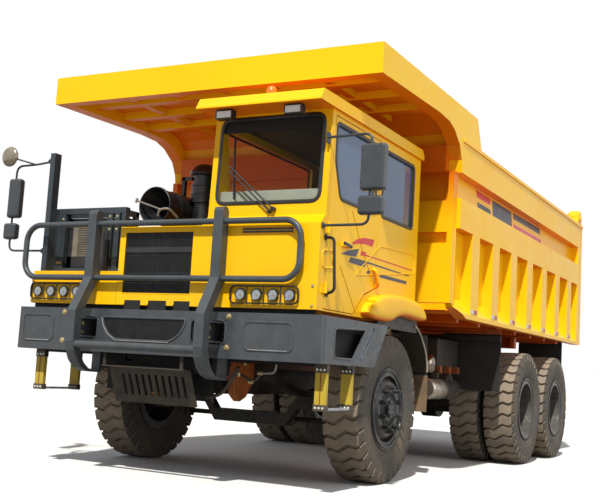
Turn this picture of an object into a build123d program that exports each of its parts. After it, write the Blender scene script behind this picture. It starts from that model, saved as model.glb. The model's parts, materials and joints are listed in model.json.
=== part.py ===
from build123d import *
from math import cos, pi, radians, sin, tan
import os

# Rigid mining dump truck. Millimetres, +Z up, the ground at Z = 0.
# The front looks towards -Y and the cab stands on the +X side.
# The origin lies on the ground under the middle of the whole vehicle.

# Wheels and axles; the datum is the plane through the middle of the cab's wheel flares
datum_y = -2480
axle_setback = 120
mid_axle = 3750
tandem_gap = 1500
tyre_radius = 675
bead_radius = 318
bead_half = 150
rim_wall = 16
flange_radius = 374
flange_half = 165
front_wheel_x = 1272
rear_outer_wheel_x = 1598
dual_gap = 425
seat_gap = 0.3
running_gap = 0.3
# Straight lugs, and the flat side that runs down to a seat on the rim's flanges
lug_count = 24
lug_share = 0.76
lug_depth = 26
side_half = 184
side_radius = 490
seat_half = 165
seat_radius = flange_radius + seat_gap
nut_circle = 200
nut_count = 10
nut_radius = 21
nut_length = 46
disc_wall = 18

# Steering
kingpin_x = 930
kingpin_radius = 32
beam_boss_radius = 66
beam_boss_height = 130
yoke_gap = 5
yoke_lug = 62
yoke_radius = 76
yoke_wall = 36
spindle_radius = 55
steer_arm = 260
steer_arm_height = 38
track_rod_radius = 24
track_eye_radius = 40
beam_drop = 170
beam_width = 110
beam_depth = 120
axle_tube_radius = 115
gear_case_radius = 245
drive_offset = 120
drive_radius = 55

# Chassis
rail_outer = 450
rail_flange = 80
rail_bottom = 980
rail_top = 1330
rail_front = -1360
rail_wall = 14
spring_x = 590
spring_width = 90
carrier_ys = (-1060, 420)
carrier_half = 45
carrier_height = 70
carrier_end = 1300
carrier_root = 900
arch_clear = 36
tank_arm_low = 1040
tank_arm_height = 80
tow_eye_radius = 31
tow_eye_height = 1140
tow_eye_plate = 45

# Tipping body
body_half = 1764
rail_reach = 109
wall_outer = body_half - rail_reach
wall_thickness = 15
body_front = 900
rear_overhang = 1500
body_rear = mid_axle + tandem_gap + rear_overhang
body_bottom = 1600
strip_height = 45
ledge_rise = 190
mid_rail = (2490, 2800)
canopy_top = 3730
top_rail_drop = (670, 315)
top_rail = (canopy_top - top_rail_drop[0], canopy_top - top_rail_drop[1])
top_lip = 36
lip_overhang = 12
rib_pitch = 737
rib_width = 250
rib_first = 1545
rib_count = 7
rear_post = 255
corner_cut = (396, 128)
floor_thickness = 20
sill_bottom = 1362
sill_width = 90
sill_outer = 450
canopy_front = -1107
canopy_depth = 267
canopy_end = 1443
canopy_slope = 170
canopy_beam = 140
canopy_skin = 12

# Hinge points of the body, its gate and its hoist, behind the datum and above the ground
tip_pin = (body_rear - 750, 1420)
gate_pin = (body_rear - 190, top_rail[1] + 95)
hoist_base = (mid_axle + 850, 1100)
hoist_reach = 2200
hoist_eye = (hoist_base[0] - hoist_reach, 1500)
rail_rear = tip_pin[0] + 180
tow_eye_place = rail_rear + 90
hoist_x = 210
hoist_barrel_radius = 84
hoist_rod_radius = 52
hoist_eye_radius = 62
pin_radius = 35
side_gap = 6

# Flaps before the rear wheels, and the tanks in front of them
flap_thickness = 12
bed_flap_width = 640
rear_flap_gap = 263
rear_flap_y = mid_axle - tyre_radius - rear_flap_gap - flap_thickness
tank_rear = rear_flap_y - 60
tank_length = 740
tank_front = tank_rear - tank_length
tank_arm_ys = (tank_front + 80, tank_rear - 350, tank_rear - 60)

# Cab
cab_inner = 350
cab_outer = 1470
cab_bottom = 1460
cab_front = -1500
cab_rear = 600
cab_wall = 40
shelf_bottom = 2150
shelf_top = 2230
screen_y = -1420
screen_top_y = -1385
cab_top = 3107
roof_height = 98
visor_front = -1670
visor_side = 30
door_rear = -390
door_gap = 8
glass = 6

# Front
bumper_face = -1540
bumper_half = 1553
bumper_bottom = 1042
bumper_top = 1419
bumper_skin = 12
bumper_depth = 175
bumper_return = -230
bumper_return_low = -500
bumper_centre = -155
guard_centre = -88
guard_half = 660
guard_upper = -1600
guard_lower = -1775
guard_face = 90
guard_depth = 90
guard_top = 2290
guard_bend = 1695
guard_curl = 1120
hoop_zs = (1690, 2168)
hoop_ends = (-1541, 1329)
hoop_bend = 150
hoop_radius = 26
low_tube_z = 1098
low_tube_radius = 34
bracket_zs = (1165, 1325)
bracket_plate = 12
deck_outer = -1486
deck_height = 1755
grille = (-500, 300)
lamp_z = 1564
lamp_radius = 58
lamp_pitch = 163
lamp_centres = (-1158, 1010)
lamp_depth = 30
cage_half = 316
cage_rise = 76
cage_reach = 46
cage_bar = 12
flare_half = 700
flare_top = 1705
hinge_gap = 0.3


def aft(distance):
    """Y of a point that lies this far behind the datum."""
    return datum_y + distance


def block(x, y, z, mode=Mode.ADD):
    """Box between (low, high) pairs, Y being measured behind the datum."""
    with Locations(((x[0] + x[1]) / 2, aft((y[0] + y[1]) / 2), (z[0] + z[1]) / 2)):
        Box(x[1] - x[0], y[1] - y[0], z[1] - z[0], mode=mode)


def side_plate(points, x, mode=Mode.ADD):
    """Plate of a (distance behind the datum, Z) outline, between two X values."""
    with BuildSketch(Plane.YZ.offset(x[0])) as outline:
        with BuildLine():
            Polyline(*[(aft(y), z) for y, z in points], close=True)
        make_face()
    extrude(outline.sketch, amount=x[1] - x[0], mode=mode)


def front_plate(points, y, mode=Mode.ADD):
    """Plate of an (X, Z) outline, between two distances behind the datum."""
    with BuildSketch(Plane.XZ.offset(-aft(y[1]))) as outline:
        with BuildLine():
            Polyline(*points, close=True)
        make_face()
    extrude(outline.sketch, amount=y[1] - y[0], mode=mode)


def cross_bar(x, y, z, radius, mode=Mode.ADD):
    """Round bar along X."""
    with BuildSketch(Plane.YZ.offset(x[0])) as outline:
        with Locations((aft(y), z)):
            Circle(radius)
    extrude(outline.sketch, amount=x[1] - x[0], mode=mode)


def upright(x, y, z, radius, mode=Mode.ADD):
    """Round bar along Z."""
    with BuildSketch(Plane.XY.offset(z[0])) as outline:
        with Locations((x, aft(y))):
            Circle(radius)
    extrude(outline.sketch, amount=z[1] - z[0], mode=mode)


def bent_tube(route, bend, radius):
    """Round tube along straight runs joined by arcs of one radius."""
    with BuildLine() as path:
        FilletPolyline(*[(x, aft(y), z) for x, y, z in route], radius=bend)
    with BuildSketch(Plane(origin=path.line @ 0, z_dir=path.line % 0)) as outline:
        Circle(radius)
    sweep(outline.sketch, path=path.line)


def turned(points, wheel_x, axle_y, side, mode=Mode.ADD):
    """Solid of revolution about a wheel's axis; points are (outward, radius) from the wheel's centre."""
    centre = (side * wheel_x, axle_y, tyre_radius)
    with BuildSketch(Plane(origin=centre, x_dir=(side, 0, 0), z_dir=(0, -side, 0))) as outline:
        with BuildLine():
            Polyline(*points, close=True)
        make_face()
    revolve(outline.sketch, axis=Axis(centre, (1, 0, 0)), mode=mode)


def tyre(wheel_x, axle_y, side):
    """Tyre with straight lugs: flat faces between rings of points, one facet of the bore to each lug."""
    pitch = 2 * pi / lug_count
    half_lug = tyre_radius * pitch * lug_share / 2
    floor_radius = tyre_radius - lug_depth

    def point(outward, height, along, facet):
        """Point at a height over a facet's middle and at a distance along the facet."""
        turn = facet * pitch
        down = height * cos(turn) - along * sin(turn)
        ahead = height * sin(turn) + along * cos(turn)
        return (side * (wheel_x + outward), axle_y + ahead, tyre_radius - down)

    def corner(outward, height, facet):
        """Corner between a facet and the next one, at the facets' height."""
        return point(outward, height, height * tan(pitch / 2), facet)

    faces = []
    outlines = {-1: [], 1: []}
    for facet in range(lug_count):
        before = facet - 1
        for ring in ((-seat_half, seat_radius, seat_half, seat_radius),
                     (seat_half, seat_radius, side_half, side_radius),
                     (-side_half, side_radius, -seat_half, seat_radius)):
            low, low_height, high, high_height = ring
            faces.append((corner(low, low_height, before), corner(low, low_height, facet),
                          corner(high, high_height, facet), corner(high, high_height, before)))
        floor_half = floor_radius * half_lug / tyre_radius
        front_tips = ((floor_radius, -floor_half), (tyre_radius, -half_lug))
        tips = (*front_tips, (tyre_radius, half_lug), (floor_radius, floor_half))
        for (height, along), (next_height, next_along) in zip(tips, tips[1:]):
            faces.append((point(-side_half, height, along, facet), point(side_half, height, along, facet),
                          point(side_half, next_height, next_along, facet),
                          point(-side_half, next_height, next_along, facet)))
        height, along = tips[-1]
        faces.append((point(-side_half, height, along, facet), point(side_half, height, along, facet),
                      point(side_half, height, -along, facet + 1),
                      point(-side_half, height, -along, facet + 1)))
        for way, outline in outlines.items():
            outline += [point(way * side_half, height, along, facet) for height, along in tips]
    flats = [Face(Wire.make_polygon(face, close=True)) for face in faces]
    for way, outline in outlines.items():
        inner = [corner(way * side_half, side_radius, facet) for facet in range(lug_count)]
        flats.append(Face(Wire.make_polygon(outline, close=True), [Wire.make_polygon(inner, close=True)]))
    add(Solid(Shell(flats)))


def rim_barrel(wheel_x, axle_y, side):
    """Rim with its two flanges, open through the middle."""
    inner = bead_radius - rim_wall
    turned(
        (
            (-flange_half, inner),
            (flange_half, inner),
            (flange_half, flange_radius),
            (bead_half, flange_radius),
            (bead_half, bead_radius),
            (-bead_half, bead_radius),
            (-bead_half, flange_radius),
            (-flange_half, flange_radius),
        ),
        wheel_x,
        axle_y,
        side,
    )


def nuts(x, axle_y, side):
    """Ring of wheel nuts standing out from a disc."""
    with BuildSketch(Plane(origin=(side * x, axle_y, tyre_radius), z_dir=(side, 0, 0))) as outline:
        with PolarLocations(nut_circle, nut_count):
            RegularPolygon(nut_radius, 6)
    extrude(outline.sketch, amount=nut_length)


front_y = aft(axle_setback)
rear_ys = (aft(mid_axle), aft(mid_axle + tandem_gap))
rear_inner_wheel_x = rear_outer_wheel_x - dual_gap
disc_plane = (rear_outer_wheel_x + rear_inner_wheel_x) / 2
hub_face = 175
hub_cap = (78, 206)
hub_radius = 168
front_hub_back = -70

wheels = {}


def front_rim(side):
    """Front disc wheel with its hub, bored for the spindle."""
    with BuildPart() as rim:
        rim_barrel(front_wheel_x, front_y, side)
        inner = bead_radius - rim_wall + 1
        face = hub_face
        turned(
            (
                (95, inner),
                (face - disc_wall, 240),
                (face - disc_wall, 100),
                (face, 100),
                (face, 246),
                (113, inner),
            ),
            front_wheel_x,
            front_y,
            side,
        )
        bore = spindle_radius + running_gap
        turned(
            (
                (front_hub_back, bore),
                (120, bore),
                (120, 0),
                (hub_cap[1], 0),
                (hub_cap[1], hub_cap[0]),
                (face, hub_cap[0]),
                (face, 106),
                (150, 140),
                (front_hub_back, 150),
            ),
            front_wheel_x,
            front_y,
            side,
        )
        nuts(front_wheel_x + face - 1, front_y, side)
    return rim.part


def dual_rims(axle_y, side):
    """Two rims whose discs meet between the twin tyres, on one planetary hub."""
    with BuildPart() as rims:
        rim_barrel(rear_outer_wheel_x, axle_y, side)
        rim_barrel(rear_inner_wheel_x, axle_y, side)
        inner = bead_radius - rim_wall + 1
        back = disc_plane - disc_wall
        front = disc_plane + disc_wall
        outer_edge = rear_outer_wheel_x - flange_half + 40
        inner_edge = rear_inner_wheel_x + flange_half - 40
        bore = spindle_radius + running_gap
        turned(
            (
                (back, 120),
                (front, 120),
                (front, 245),
                (outer_edge, inner),
                (outer_edge - 24, inner),
                (disc_plane, 270),
                (inner_edge + 24, inner),
                (inner_edge, inner),
                (back, 245),
            ),
            0,
            axle_y,
            side,
        )
        turned(
            (
                (rear_inner_wheel_x - 110, bore),
                (disc_plane + 60, bore),
                (disc_plane + 60, 0),
                (disc_plane + 190, 0),
                (disc_plane + 190, 120),
                (disc_plane + 165, hub_radius),
                (front, hub_radius),
                (back, hub_radius),
                (rear_inner_wheel_x - 110, hub_radius),
            ),
            0,
            axle_y,
            side,
        )
        nuts(front - 1, axle_y, side)
    return rims.part


for side_name, side in (("left", 1), ("right", -1)):
    with BuildPart() as front_tyre:
        tyre(front_wheel_x, front_y, side)
    wheels[f"tyre_front_{side_name}"] = front_tyre.part
    wheels[f"rim_front_{side_name}"] = front_rim(side)
    for axle_name, axle_y in (("mid", rear_ys[0]), ("rear", rear_ys[1])):
        with BuildPart() as twin_tyres:
            tyre(rear_outer_wheel_x, axle_y, side)
            tyre(rear_inner_wheel_x, axle_y, side)
        wheels[f"tyres_{axle_name}_{side_name}"] = twin_tyres.part
        wheels[f"rims_{axle_name}_{side_name}"] = dual_rims(axle_y, side)

# Steering knuckles: a yoke about the axle beam's boss, the kingpin, the spindle and the steering arm
boss_low = tyre_radius - beam_boss_height / 2
boss_high = tyre_radius + beam_boss_height / 2
yoke_low = boss_low - yoke_gap - yoke_lug
yoke_high = boss_high + yoke_gap + yoke_lug
yoke_back = kingpin_x + yoke_radius
spindle_end = front_wheel_x + 115
yoke_y = (axle_setback - yoke_radius, axle_setback + yoke_radius)
steer_arm_y = axle_setback + steer_arm


def knuckle(side):
    """Knuckle on one side of the vehicle."""
    with BuildPart() as part:
        for low, high in ((yoke_low, boss_low - yoke_gap), (boss_high + yoke_gap, yoke_high)):
            upright(kingpin_x, axle_setback, (low, high), yoke_radius)
            block((kingpin_x, yoke_back + yoke_wall), yoke_y, (low, high))
        block((yoke_back, yoke_back + yoke_wall), yoke_y, (yoke_low, yoke_high))
        upright(kingpin_x, axle_setback, (yoke_low, yoke_high), kingpin_radius)
        cross_bar((yoke_back, spindle_end), axle_setback, tyre_radius, spindle_radius)
        cross_bar((yoke_back, front_wheel_x + front_hub_back - 30), axle_setback, tyre_radius, 150)
        upright(kingpin_x, steer_arm_y, (yoke_low, yoke_low + steer_arm_height), track_eye_radius)
        block(
            (kingpin_x - track_eye_radius, kingpin_x + track_eye_radius),
            (axle_setback, steer_arm_y),
            (yoke_low, yoke_low + steer_arm_height),
        )
        if side < 0:
            mirror(about=Plane.YZ, mode=Mode.REPLACE)
    return part.part


knuckles = {"knuckle_left": knuckle(1), "knuckle_right": knuckle(-1)}

with BuildPart() as track_rod:
    rod_z = yoke_low - 1 - track_eye_radius
    cross_bar((-kingpin_x, kingpin_x), steer_arm_y, rod_z, track_rod_radius)
    for x in (-kingpin_x, kingpin_x):
        upright(x, steer_arm_y, (rod_z - track_eye_radius, yoke_low - running_gap), track_eye_radius)

# Axles: the front beam drops between its bosses, the rear ones are tubes with a round gear case
with BuildPart() as axle_housings:
    half = beam_depth / 2
    low = tyre_radius - beam_drop
    drop_start = spring_x - spring_width / 2 - 20
    drop_end = drop_start - 125
    front_plate(
        (
            (-kingpin_x, tyre_radius + half),
            (-drop_start, tyre_radius + half),
            (-drop_end, low + half),
            (drop_end, low + half),
            (drop_start, tyre_radius + half),
            (kingpin_x, tyre_radius + half),
            (kingpin_x, tyre_radius - half),
            (drop_start, tyre_radius - half),
            (drop_end, low - half),
            (-drop_end, low - half),
            (-drop_start, tyre_radius - half),
            (-kingpin_x, tyre_radius - half),
        ),
        (axle_setback - beam_width / 2, axle_setback + beam_width / 2),
    )
    for x in (-kingpin_x, kingpin_x):
        upright(x, axle_setback, (boss_low, boss_high), beam_boss_radius)
        upright(x, axle_setback, (boss_low, boss_high), kingpin_radius + running_gap, mode=Mode.SUBTRACT)
    for axle in (mid_axle, mid_axle + tandem_gap):
        tube_end = rear_inner_wheel_x - 115
        cross_bar((-tube_end, tube_end), axle, tyre_radius, axle_tube_radius)
        cross_bar((-disc_plane - 50, disc_plane + 50), axle, tyre_radius, spindle_radius)
        for flange in (-tube_end, tube_end - 60):
            cross_bar((flange, flange + 60), axle, tyre_radius, 215)
        cross_bar((-115, 115), axle, tyre_radius, gear_case_radius)

# Chassis: two channel rails, their crossmembers, and the brackets for the hinge, hoist and springs
with BuildPart() as chassis_frame:
    for side in (-1, 1):
        web = sorted((side * rail_outer, side * (rail_outer - rail_wall)))
        flange = sorted((side * rail_outer, side * (rail_outer - rail_flange)))
        block(web, (rail_front, rail_rear), (rail_bottom, rail_top))
        block(flange, (rail_front, rail_rear), (rail_bottom, rail_bottom + rail_wall))
        block(flange, (rail_front, rail_rear), (rail_top - rail_wall, rail_top))
    # Crossmembers seated between the webs: place behind the datum, length along Y, bottom and top
    member_half = rail_outer - rail_wall - seat_gap
    member_low = rail_bottom + rail_wall + seat_gap
    member_high = rail_top - rail_wall - seat_gap
    crossmembers = (
        (rail_front + 60, 60, member_low, member_high),
        (1250, 90, member_low, rail_bottom + 120),
        (1700, 90, member_low, rail_top - 40),
        (2900, 90, member_low, rail_bottom + 110),
        (hoist_base[0] - 240, 120, member_low, member_low + 30),
        (mid_axle + tandem_gap + 50, 90, rail_bottom + 150, member_high),
        (tip_pin[0] + 60, 100, member_low, rail_top - 20),
    )
    for y, length, low, high in crossmembers:
        block((-member_half, member_half), (y - length / 2, y + length / 2), (low, high))
    # Hinge ears for the tipping body, standing on the rails
    ear_low = rail_top + seat_gap
    for x in (-rail_outer, rail_outer - rail_flange):
        side_plate(
            (
                (tip_pin[0] - 125, ear_low),
                (tip_pin[0] + 125, ear_low),
                (tip_pin[0] + 62, tip_pin[1] + 30),
                (tip_pin[0] - 62, tip_pin[1] + 30),
            ),
            (x, x + rail_flange),
        )
        cross_bar((x - 60, x + rail_flange + 60), *tip_pin, pin_radius)
    # Shaft that carries the two hoist barrels
    cross_bar((-member_half, member_half), *hoist_base, pin_radius)
    # Towing tongue behind the last crossmember
    tongue = (tow_eye_height - tow_eye_plate, tow_eye_height)
    block((-100, 100), (tip_pin[0] + 105, tow_eye_place), tongue)
    upright(0, tow_eye_place, tongue, 100)
    upright(0, tow_eye_place, tongue, tow_eye_radius, mode=Mode.SUBTRACT)
    # Cab and deck carriers over the rails, and the arms that carry the tanks
    for y in carrier_ys:
        carrier = (rail_top + seat_gap, rail_top + carrier_height)
        block((-carrier_end, carrier_end), (y - carrier_half, y + carrier_half), carrier)
    # The rear carrier's arms are cut away over the steered tyres
    notch_y = (carrier_ys[1] - carrier_half - 1, carrier_ys[1] + carrier_half + 1)
    for ends in ((-carrier_end - 1, -carrier_root), (carrier_root, carrier_end + 1)):
        block(ends, notch_y, (rail_top, rail_top + arch_clear), mode=Mode.SUBTRACT)
    arm_start = rail_outer + seat_gap
    for y in tank_arm_ys:
        arm_zs = (tank_arm_low, tank_arm_low + tank_arm_height)
        block((-1240, -arm_start), (y - 35, y + 35), arm_zs)
        block((arm_start, 1240), (y - 35, y + 35), arm_zs)

# Leaf springs: front packs along each rail, rear packs hung on a trunnion between the two axles
with BuildPart() as leaf_springs:
    for side in (-1, 1):
        x = sorted((side * (spring_x - spring_width / 2), side * (spring_x + spring_width / 2)))
        seat = tyre_radius + beam_depth / 2
        spring_eyes = (axle_setback - 760, axle_setback + 760)
        side_plate(
            (
                (spring_eyes[0], rail_bottom - 60),
                (axle_setback - 120, seat + 60),
                (axle_setback + 120, seat + 60),
                (spring_eyes[1], rail_bottom - 60),
                (spring_eyes[1], rail_bottom - 100),
                (axle_setback + 120, seat + seat_gap),
                (axle_setback - 120, seat + seat_gap),
                (spring_eyes[0], rail_bottom - 100),
            ),
            x,
        )
        arm = sorted((side * (rail_outer + seat_gap), side * (spring_x + spring_width / 2)))
        for y in spring_eyes:
            block(arm, (y - 45, y + 45), (rail_bottom - 110, rail_bottom + 120))
        middle = mid_axle + tandem_gap / 2
        side_plate(
            (
                (middle - tandem_gap / 2 - 60, tyre_radius + axle_tube_radius + seat_gap),
                (middle - tandem_gap / 2 + 60, tyre_radius + axle_tube_radius + seat_gap),
                (middle - 120, rail_bottom - 70),
                (middle + 120, rail_bottom - 70),
                (middle + tandem_gap / 2 - 60, tyre_radius + axle_tube_radius + seat_gap),
                (middle + tandem_gap / 2 + 60, tyre_radius + axle_tube_radius + seat_gap),
                (middle + tandem_gap / 2 + 60, tyre_radius + 160),
                (middle + 150, rail_bottom + 70),
                (middle - 150, rail_bottom + 70),
                (middle - tandem_gap / 2 - 60, tyre_radius + 160),
            ),
            x,
        )
        block(arm, (middle - 110, middle + 110), (rail_bottom - 60, rail_bottom + 60))

with BuildPart() as engine_block:
    block((-330, 330), (-1000, 560), (740, rail_top - 5))

with BuildPart() as driveline:
    gearbox = (560 + seat_gap, 1150)
    block((-210, 210), gearbox, (760, 1180))
    case = (gear_case_radius**2 - (drive_offset - drive_radius) ** 2) ** 0.5 + seat_gap
    cross_y = ((gearbox[1], mid_axle - case), (mid_axle + case, mid_axle + tandem_gap - case))
    for start, end in cross_y:
        with BuildSketch(Plane.XZ.offset(-aft(end))):
            with Locations((0, tyre_radius + drive_offset)):
                Circle(drive_radius)
        extrude(amount=end - start)

# Front bumper: welded of flat plates, with a mesh recess and two openings for the guard's brackets
bumper_lip = 70
with BuildPart() as front_bumper:
    face = bumper_face
    skin_rear = face + bumper_skin
    behind_skin = (skin_rear + seat_gap, face + bumper_depth)
    between_returns = bumper_half - bumper_skin - seat_gap
    block((-bumper_half, bumper_half), (face, skin_rear), (bumper_bottom, bumper_top))
    for z in (bumper_bottom, bumper_top - bumper_skin):
        block((-between_returns, between_returns), behind_skin, (z, z + bumper_skin))
    for side in (-1, 1):
        x = sorted((side * bumper_half, side * (bumper_half - bumper_skin)))
        side_plate(
            (
                (behind_skin[0], bumper_bottom),
                (bumper_return_low, bumper_bottom),
                (bumper_return, bumper_top),
                (behind_skin[0], bumper_top),
            ),
            x,
        )
        side_plate(((-1308, 1095), (-956, 1091), (-706, 1353), (-1308, 1331)), x, mode=Mode.SUBTRACT)
        lip = sorted((side * (bumper_half - bumper_lip), side * between_returns))
        side_plate(
            (
                (bumper_return_low, bumper_bottom),
                (bumper_return_low - bumper_skin, bumper_bottom),
                (bumper_return - bumper_skin, bumper_top),
                (bumper_return, bumper_top),
            ),
            lip,
        )
        lip_span = (behind_skin[1] + seat_gap, bumper_return - 2 * bumper_skin)
        block(lip, lip_span, (bumper_top - bumper_skin, bumper_top))
        hole = sorted((bumper_centre + side * 490, bumper_centre + side * 828))
        block(hole, (face - 1, face + 60), (bracket_zs[0] - 14, bracket_zs[1] + 26), mode=Mode.SUBTRACT)
        bracket = sorted((side * rail_outer, side * (rail_outer - 40)))
        block(bracket, (behind_skin[0], rail_front - seat_gap), (bumper_bottom + 60, bumper_top - 60))
    front_plate(
        (
            (bumper_centre - 440, 1350),
            (bumper_centre - 425, 1285),
            (bumper_centre - 370, 1205),
            (bumper_centre - 280, 1155),
            (bumper_centre + 280, 1155),
            (bumper_centre + 370, 1205),
            (bumper_centre + 425, 1285),
            (bumper_centre + 440, 1350),
        ),
        (face - 1, face + bumper_skin + 0.1),
        mode=Mode.SUBTRACT,
    )
    block(
        (bumper_centre - 450, bumper_centre + 450),
        (behind_skin[0], behind_skin[0] + 8),
        (1145, 1360),
    )

with BuildPart() as skid_plate:
    skid_span = (-596, 266)
    slots_centre = -142
    slot_pitch = 70
    skid_slots = 10
    plate = ((-1500, 935), (-1390, 930), (-1250, 628), (-1262, 620), (-1398, 922), (-1500, 922))
    side_plate(plate, skid_span)
    for index in range(skid_slots):
        x = slots_centre + (index - (skid_slots - 1) / 2) * slot_pitch
        block((x - 14, x + 14), (-1500, -1200), (690, 870), mode=Mode.SUBTRACT)
    for x in (skid_span[0] + 10, skid_span[1] - 40):
        block((x, x + 30), (-1500, -1480), (922, bumper_bottom - seat_gap))

# Front guard: two bent box bars, with tubes butted on their sides and brackets through the bumper
with BuildPart() as front_guard:
    curl_end = -1375
    bar_rear = guard_upper + guard_depth
    low_rear = guard_lower + guard_depth
    bar_profile = (
        (bar_rear, guard_top - 40),
        (bar_rear - 16, guard_top - 12),
        (bar_rear - 45, guard_top),
        (guard_upper + 14, guard_top - 10),
        (guard_upper, guard_top - 38),
        (guard_upper, guard_bend),
        (guard_lower, guard_bend - 305),
        (guard_lower, guard_curl),
        (guard_lower + 18, guard_curl - 80),
        (guard_lower + 62, guard_curl - 160),
        (guard_lower + 134, guard_curl - 222),
        (guard_lower + 226, guard_curl - 252),
        (curl_end, guard_curl - 258),
        (curl_end, guard_curl - 236),
        (guard_lower + 232, guard_curl - 226),
        (guard_lower + 160, guard_curl - 176),
        (guard_lower + 112, guard_curl - 96),
        (low_rear, guard_curl),
        (low_rear, guard_bend - 325),
        (bar_rear, guard_bend - 20),
    )
    for side in (-1, 1):
        x = guard_centre + side * guard_half
        width = (x - guard_face / 2, x + guard_face / 2)
        side_plate(bar_profile, width)
        bracket_y = (low_rear - 1, bumper_face + 120)
        for z in bracket_zs:
            block((width[0], width[1] + 25), bracket_y, (z, z + bracket_plate))
        block((x - 24, x - 12), bracket_y, (bracket_zs[0], bracket_zs[1] + 1))
        side_plate(
            (
                (curl_end - 25, guard_curl - 250),
                (curl_end, guard_curl - 250),
                (curl_end, bumper_bottom),
                (curl_end - 25, bumper_bottom),
            ),
            width,
        )
    inner_span = guard_half - guard_face / 2 - seat_gap
    tube_y = (guard_upper + bar_rear) / 2
    for z in hoop_zs:
        cross_bar((guard_centre - inner_span, guard_centre + inner_span), tube_y, z, hoop_radius)
    low_span = (guard_centre - inner_span, guard_centre + inner_span)
    cross_bar(low_span, guard_lower + 40, low_tube_z, low_tube_radius)
    for hoop_end, side in ((hoop_ends[0], -1), (hoop_ends[1], 1)):
        hoop_start = guard_centre + side * (guard_half + guard_face / 2 + seat_gap)
        bent_tube(
            (
                (hoop_start, tube_y, hoop_zs[1]),
                (hoop_end, tube_y, hoop_zs[1]),
                (hoop_end, tube_y, hoop_zs[0]),
                (hoop_start, tube_y, hoop_zs[0]),
            ),
            hoop_bend,
            hoop_radius,
        )

# Radiator front: a yellow frame with posts, and the dark cores behind it
grille_top = 2145
with BuildPart() as grille_frame:
    block(grille, (cab_front, -1130), (cab_bottom, grille_top))
    block((grille[0] + 14, grille[1] - 14), (cab_front + 60, -1129), (cab_bottom - 1, grille_top - 14),
          mode=Mode.SUBTRACT)
    window = (-444, 274)
    block(window, (cab_front - 1, cab_front + 61), (1561, grille_top - 48), mode=Mode.SUBTRACT)
    for low, high in ((-396, -237), (-142, 33), (125, window[1])):
        block((low, high), (cab_front - 1, cab_front + 61), (cab_bottom - 1, 1495), mode=Mode.SUBTRACT)
    block((grille[1], cab_inner - seat_gap), (cab_front, cab_front + 40), (cab_bottom, grille_top))

with BuildPart() as grille_core:
    core_y = (cab_front + 60 + seat_gap, cab_front + 80)
    block((grille[0] + 30, grille[1] - 30), core_y, (1475, grille_top - 20))
    block((grille[0] + 30, grille[1] - 30), (cab_front + 110, -1220), (1485, grille_top - 40))
    for z in (1560, 1990):
        block((grille[0] + 60, grille[1] - 60), (cab_front + 79, cab_front + 111), (z, z + 60))

# Right deck over the engine, with its lamp box in front and its posts on the carriers
lamp_box_top = 1655
with BuildPart() as right_deck:
    deck_skin = 30
    deck_low = deck_height - deck_skin
    block((deck_outer, grille[0] - 2), (cab_front + 20, cab_rear), (deck_low, deck_height))
    block((grille[0] - 2, cab_inner - 4), (-1120, cab_rear), (deck_low, deck_height))
    block((deck_outer, grille[0] - 4), (cab_front, cab_front + 30), (cab_bottom, lamp_box_top))
    block((deck_outer, grille[0] - 4), (cab_front + 20, cab_front + 40), (lamp_box_top - 20, deck_low + 1))
    side_plate(
        (
            (cab_front, cab_bottom),
            (-flare_half + 20, cab_bottom),
            (-510, 1600),
            (-295, flare_top - 20),
            (275, flare_top - 20),
            (490, 1600),
            (cab_rear, 1540),
            (cab_rear, deck_low + 1),
            (cab_front, deck_low + 1),
        ),
        (deck_outer, deck_outer + 20),
    )
    block((deck_outer, grille[0] - 4), (cab_front, -1080), (cab_bottom, cab_bottom + 16))
    for y in carrier_ys:
        for x in (-1230, -640, cab_inner - 120):
            block((x, x + 60), (y - 30, y + 30), (rail_top + carrier_height, deck_low + 1))

# Four round lamps a side
with BuildPart() as headlamps:
    for centre in lamp_centres:
        for index in range(4):
            x = centre + (index - 1.5) * lamp_pitch
            with BuildSketch(Plane.XZ.offset(-aft(cab_front - seat_gap))):
                with Locations((x, lamp_z)):
                    Circle(lamp_radius)
            extrude(amount=lamp_depth)

# Cage of thin bars before each row of lamps, its ends reaching back to the panel
with BuildPart() as lamp_cages:
    cage_y = (cab_front - cage_reach, cab_front - cage_reach + cage_bar)
    for centre in lamp_centres:
        cage = (centre - cage_half, centre + cage_half)
        for z in (lamp_z - cage_rise, lamp_z + cage_rise - cage_bar):
            block(cage, cage_y, (z, z + cage_bar))
        for x in (cage[0], cage[1] - cage_bar):
            z = (lamp_z - cage_rise, lamp_z + cage_rise)
            block((x, x + cage_bar), (cage_y[0], cab_front - seat_gap), z)
        for index in range(7):
            x = centre + (index - 3) * lamp_pitch / 2
            block((x - 3, x + 3), (cage_y[0], cage_y[0] + 6), (lamp_z - cage_rise, lamp_z + cage_rise))

# Cab shell: floor, front, rear and both side walls, with the door and window openings cut
cab_profile = (
    (cab_front, cab_bottom),
    (cab_front, shelf_bottom),
    (screen_y, shelf_top),
    (screen_top_y, cab_top),
    (cab_rear, cab_top),
    (cab_rear, cab_bottom),
)
cab_hollow = (
    (cab_front + cab_wall, cab_bottom + cab_wall),
    (cab_front + cab_wall, shelf_bottom - 20),
    (screen_y + cab_wall, shelf_top - 20),
    (screen_top_y + cab_wall, cab_top + 1),
    (cab_rear - cab_wall, cab_top + 1),
    (cab_rear - cab_wall, cab_bottom + cab_wall),
)
door_front = -1375
door_bottom = 1480
door_top = 3060
door_outline = (
    (door_front, door_bottom),
    (-820, door_bottom),
    (-730, 1560),
    (-600, 1670),
    (door_rear, 1740),
    (door_rear, door_top),
    (door_front + 62, door_top),
    (door_front, 2250),
)
door_opening = (
    (door_front - door_gap, door_bottom - door_gap),
    (-820 + door_gap, door_bottom - door_gap),
    (-726, 1548),
    (-596, 1658),
    (door_rear + door_gap, 1732),
    (door_rear + door_gap, door_top + door_gap),
    (door_front + 54, door_top + door_gap),
    (door_front - door_gap, 2250),
)
pane_low = 2395
pane_high = 3010
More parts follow.
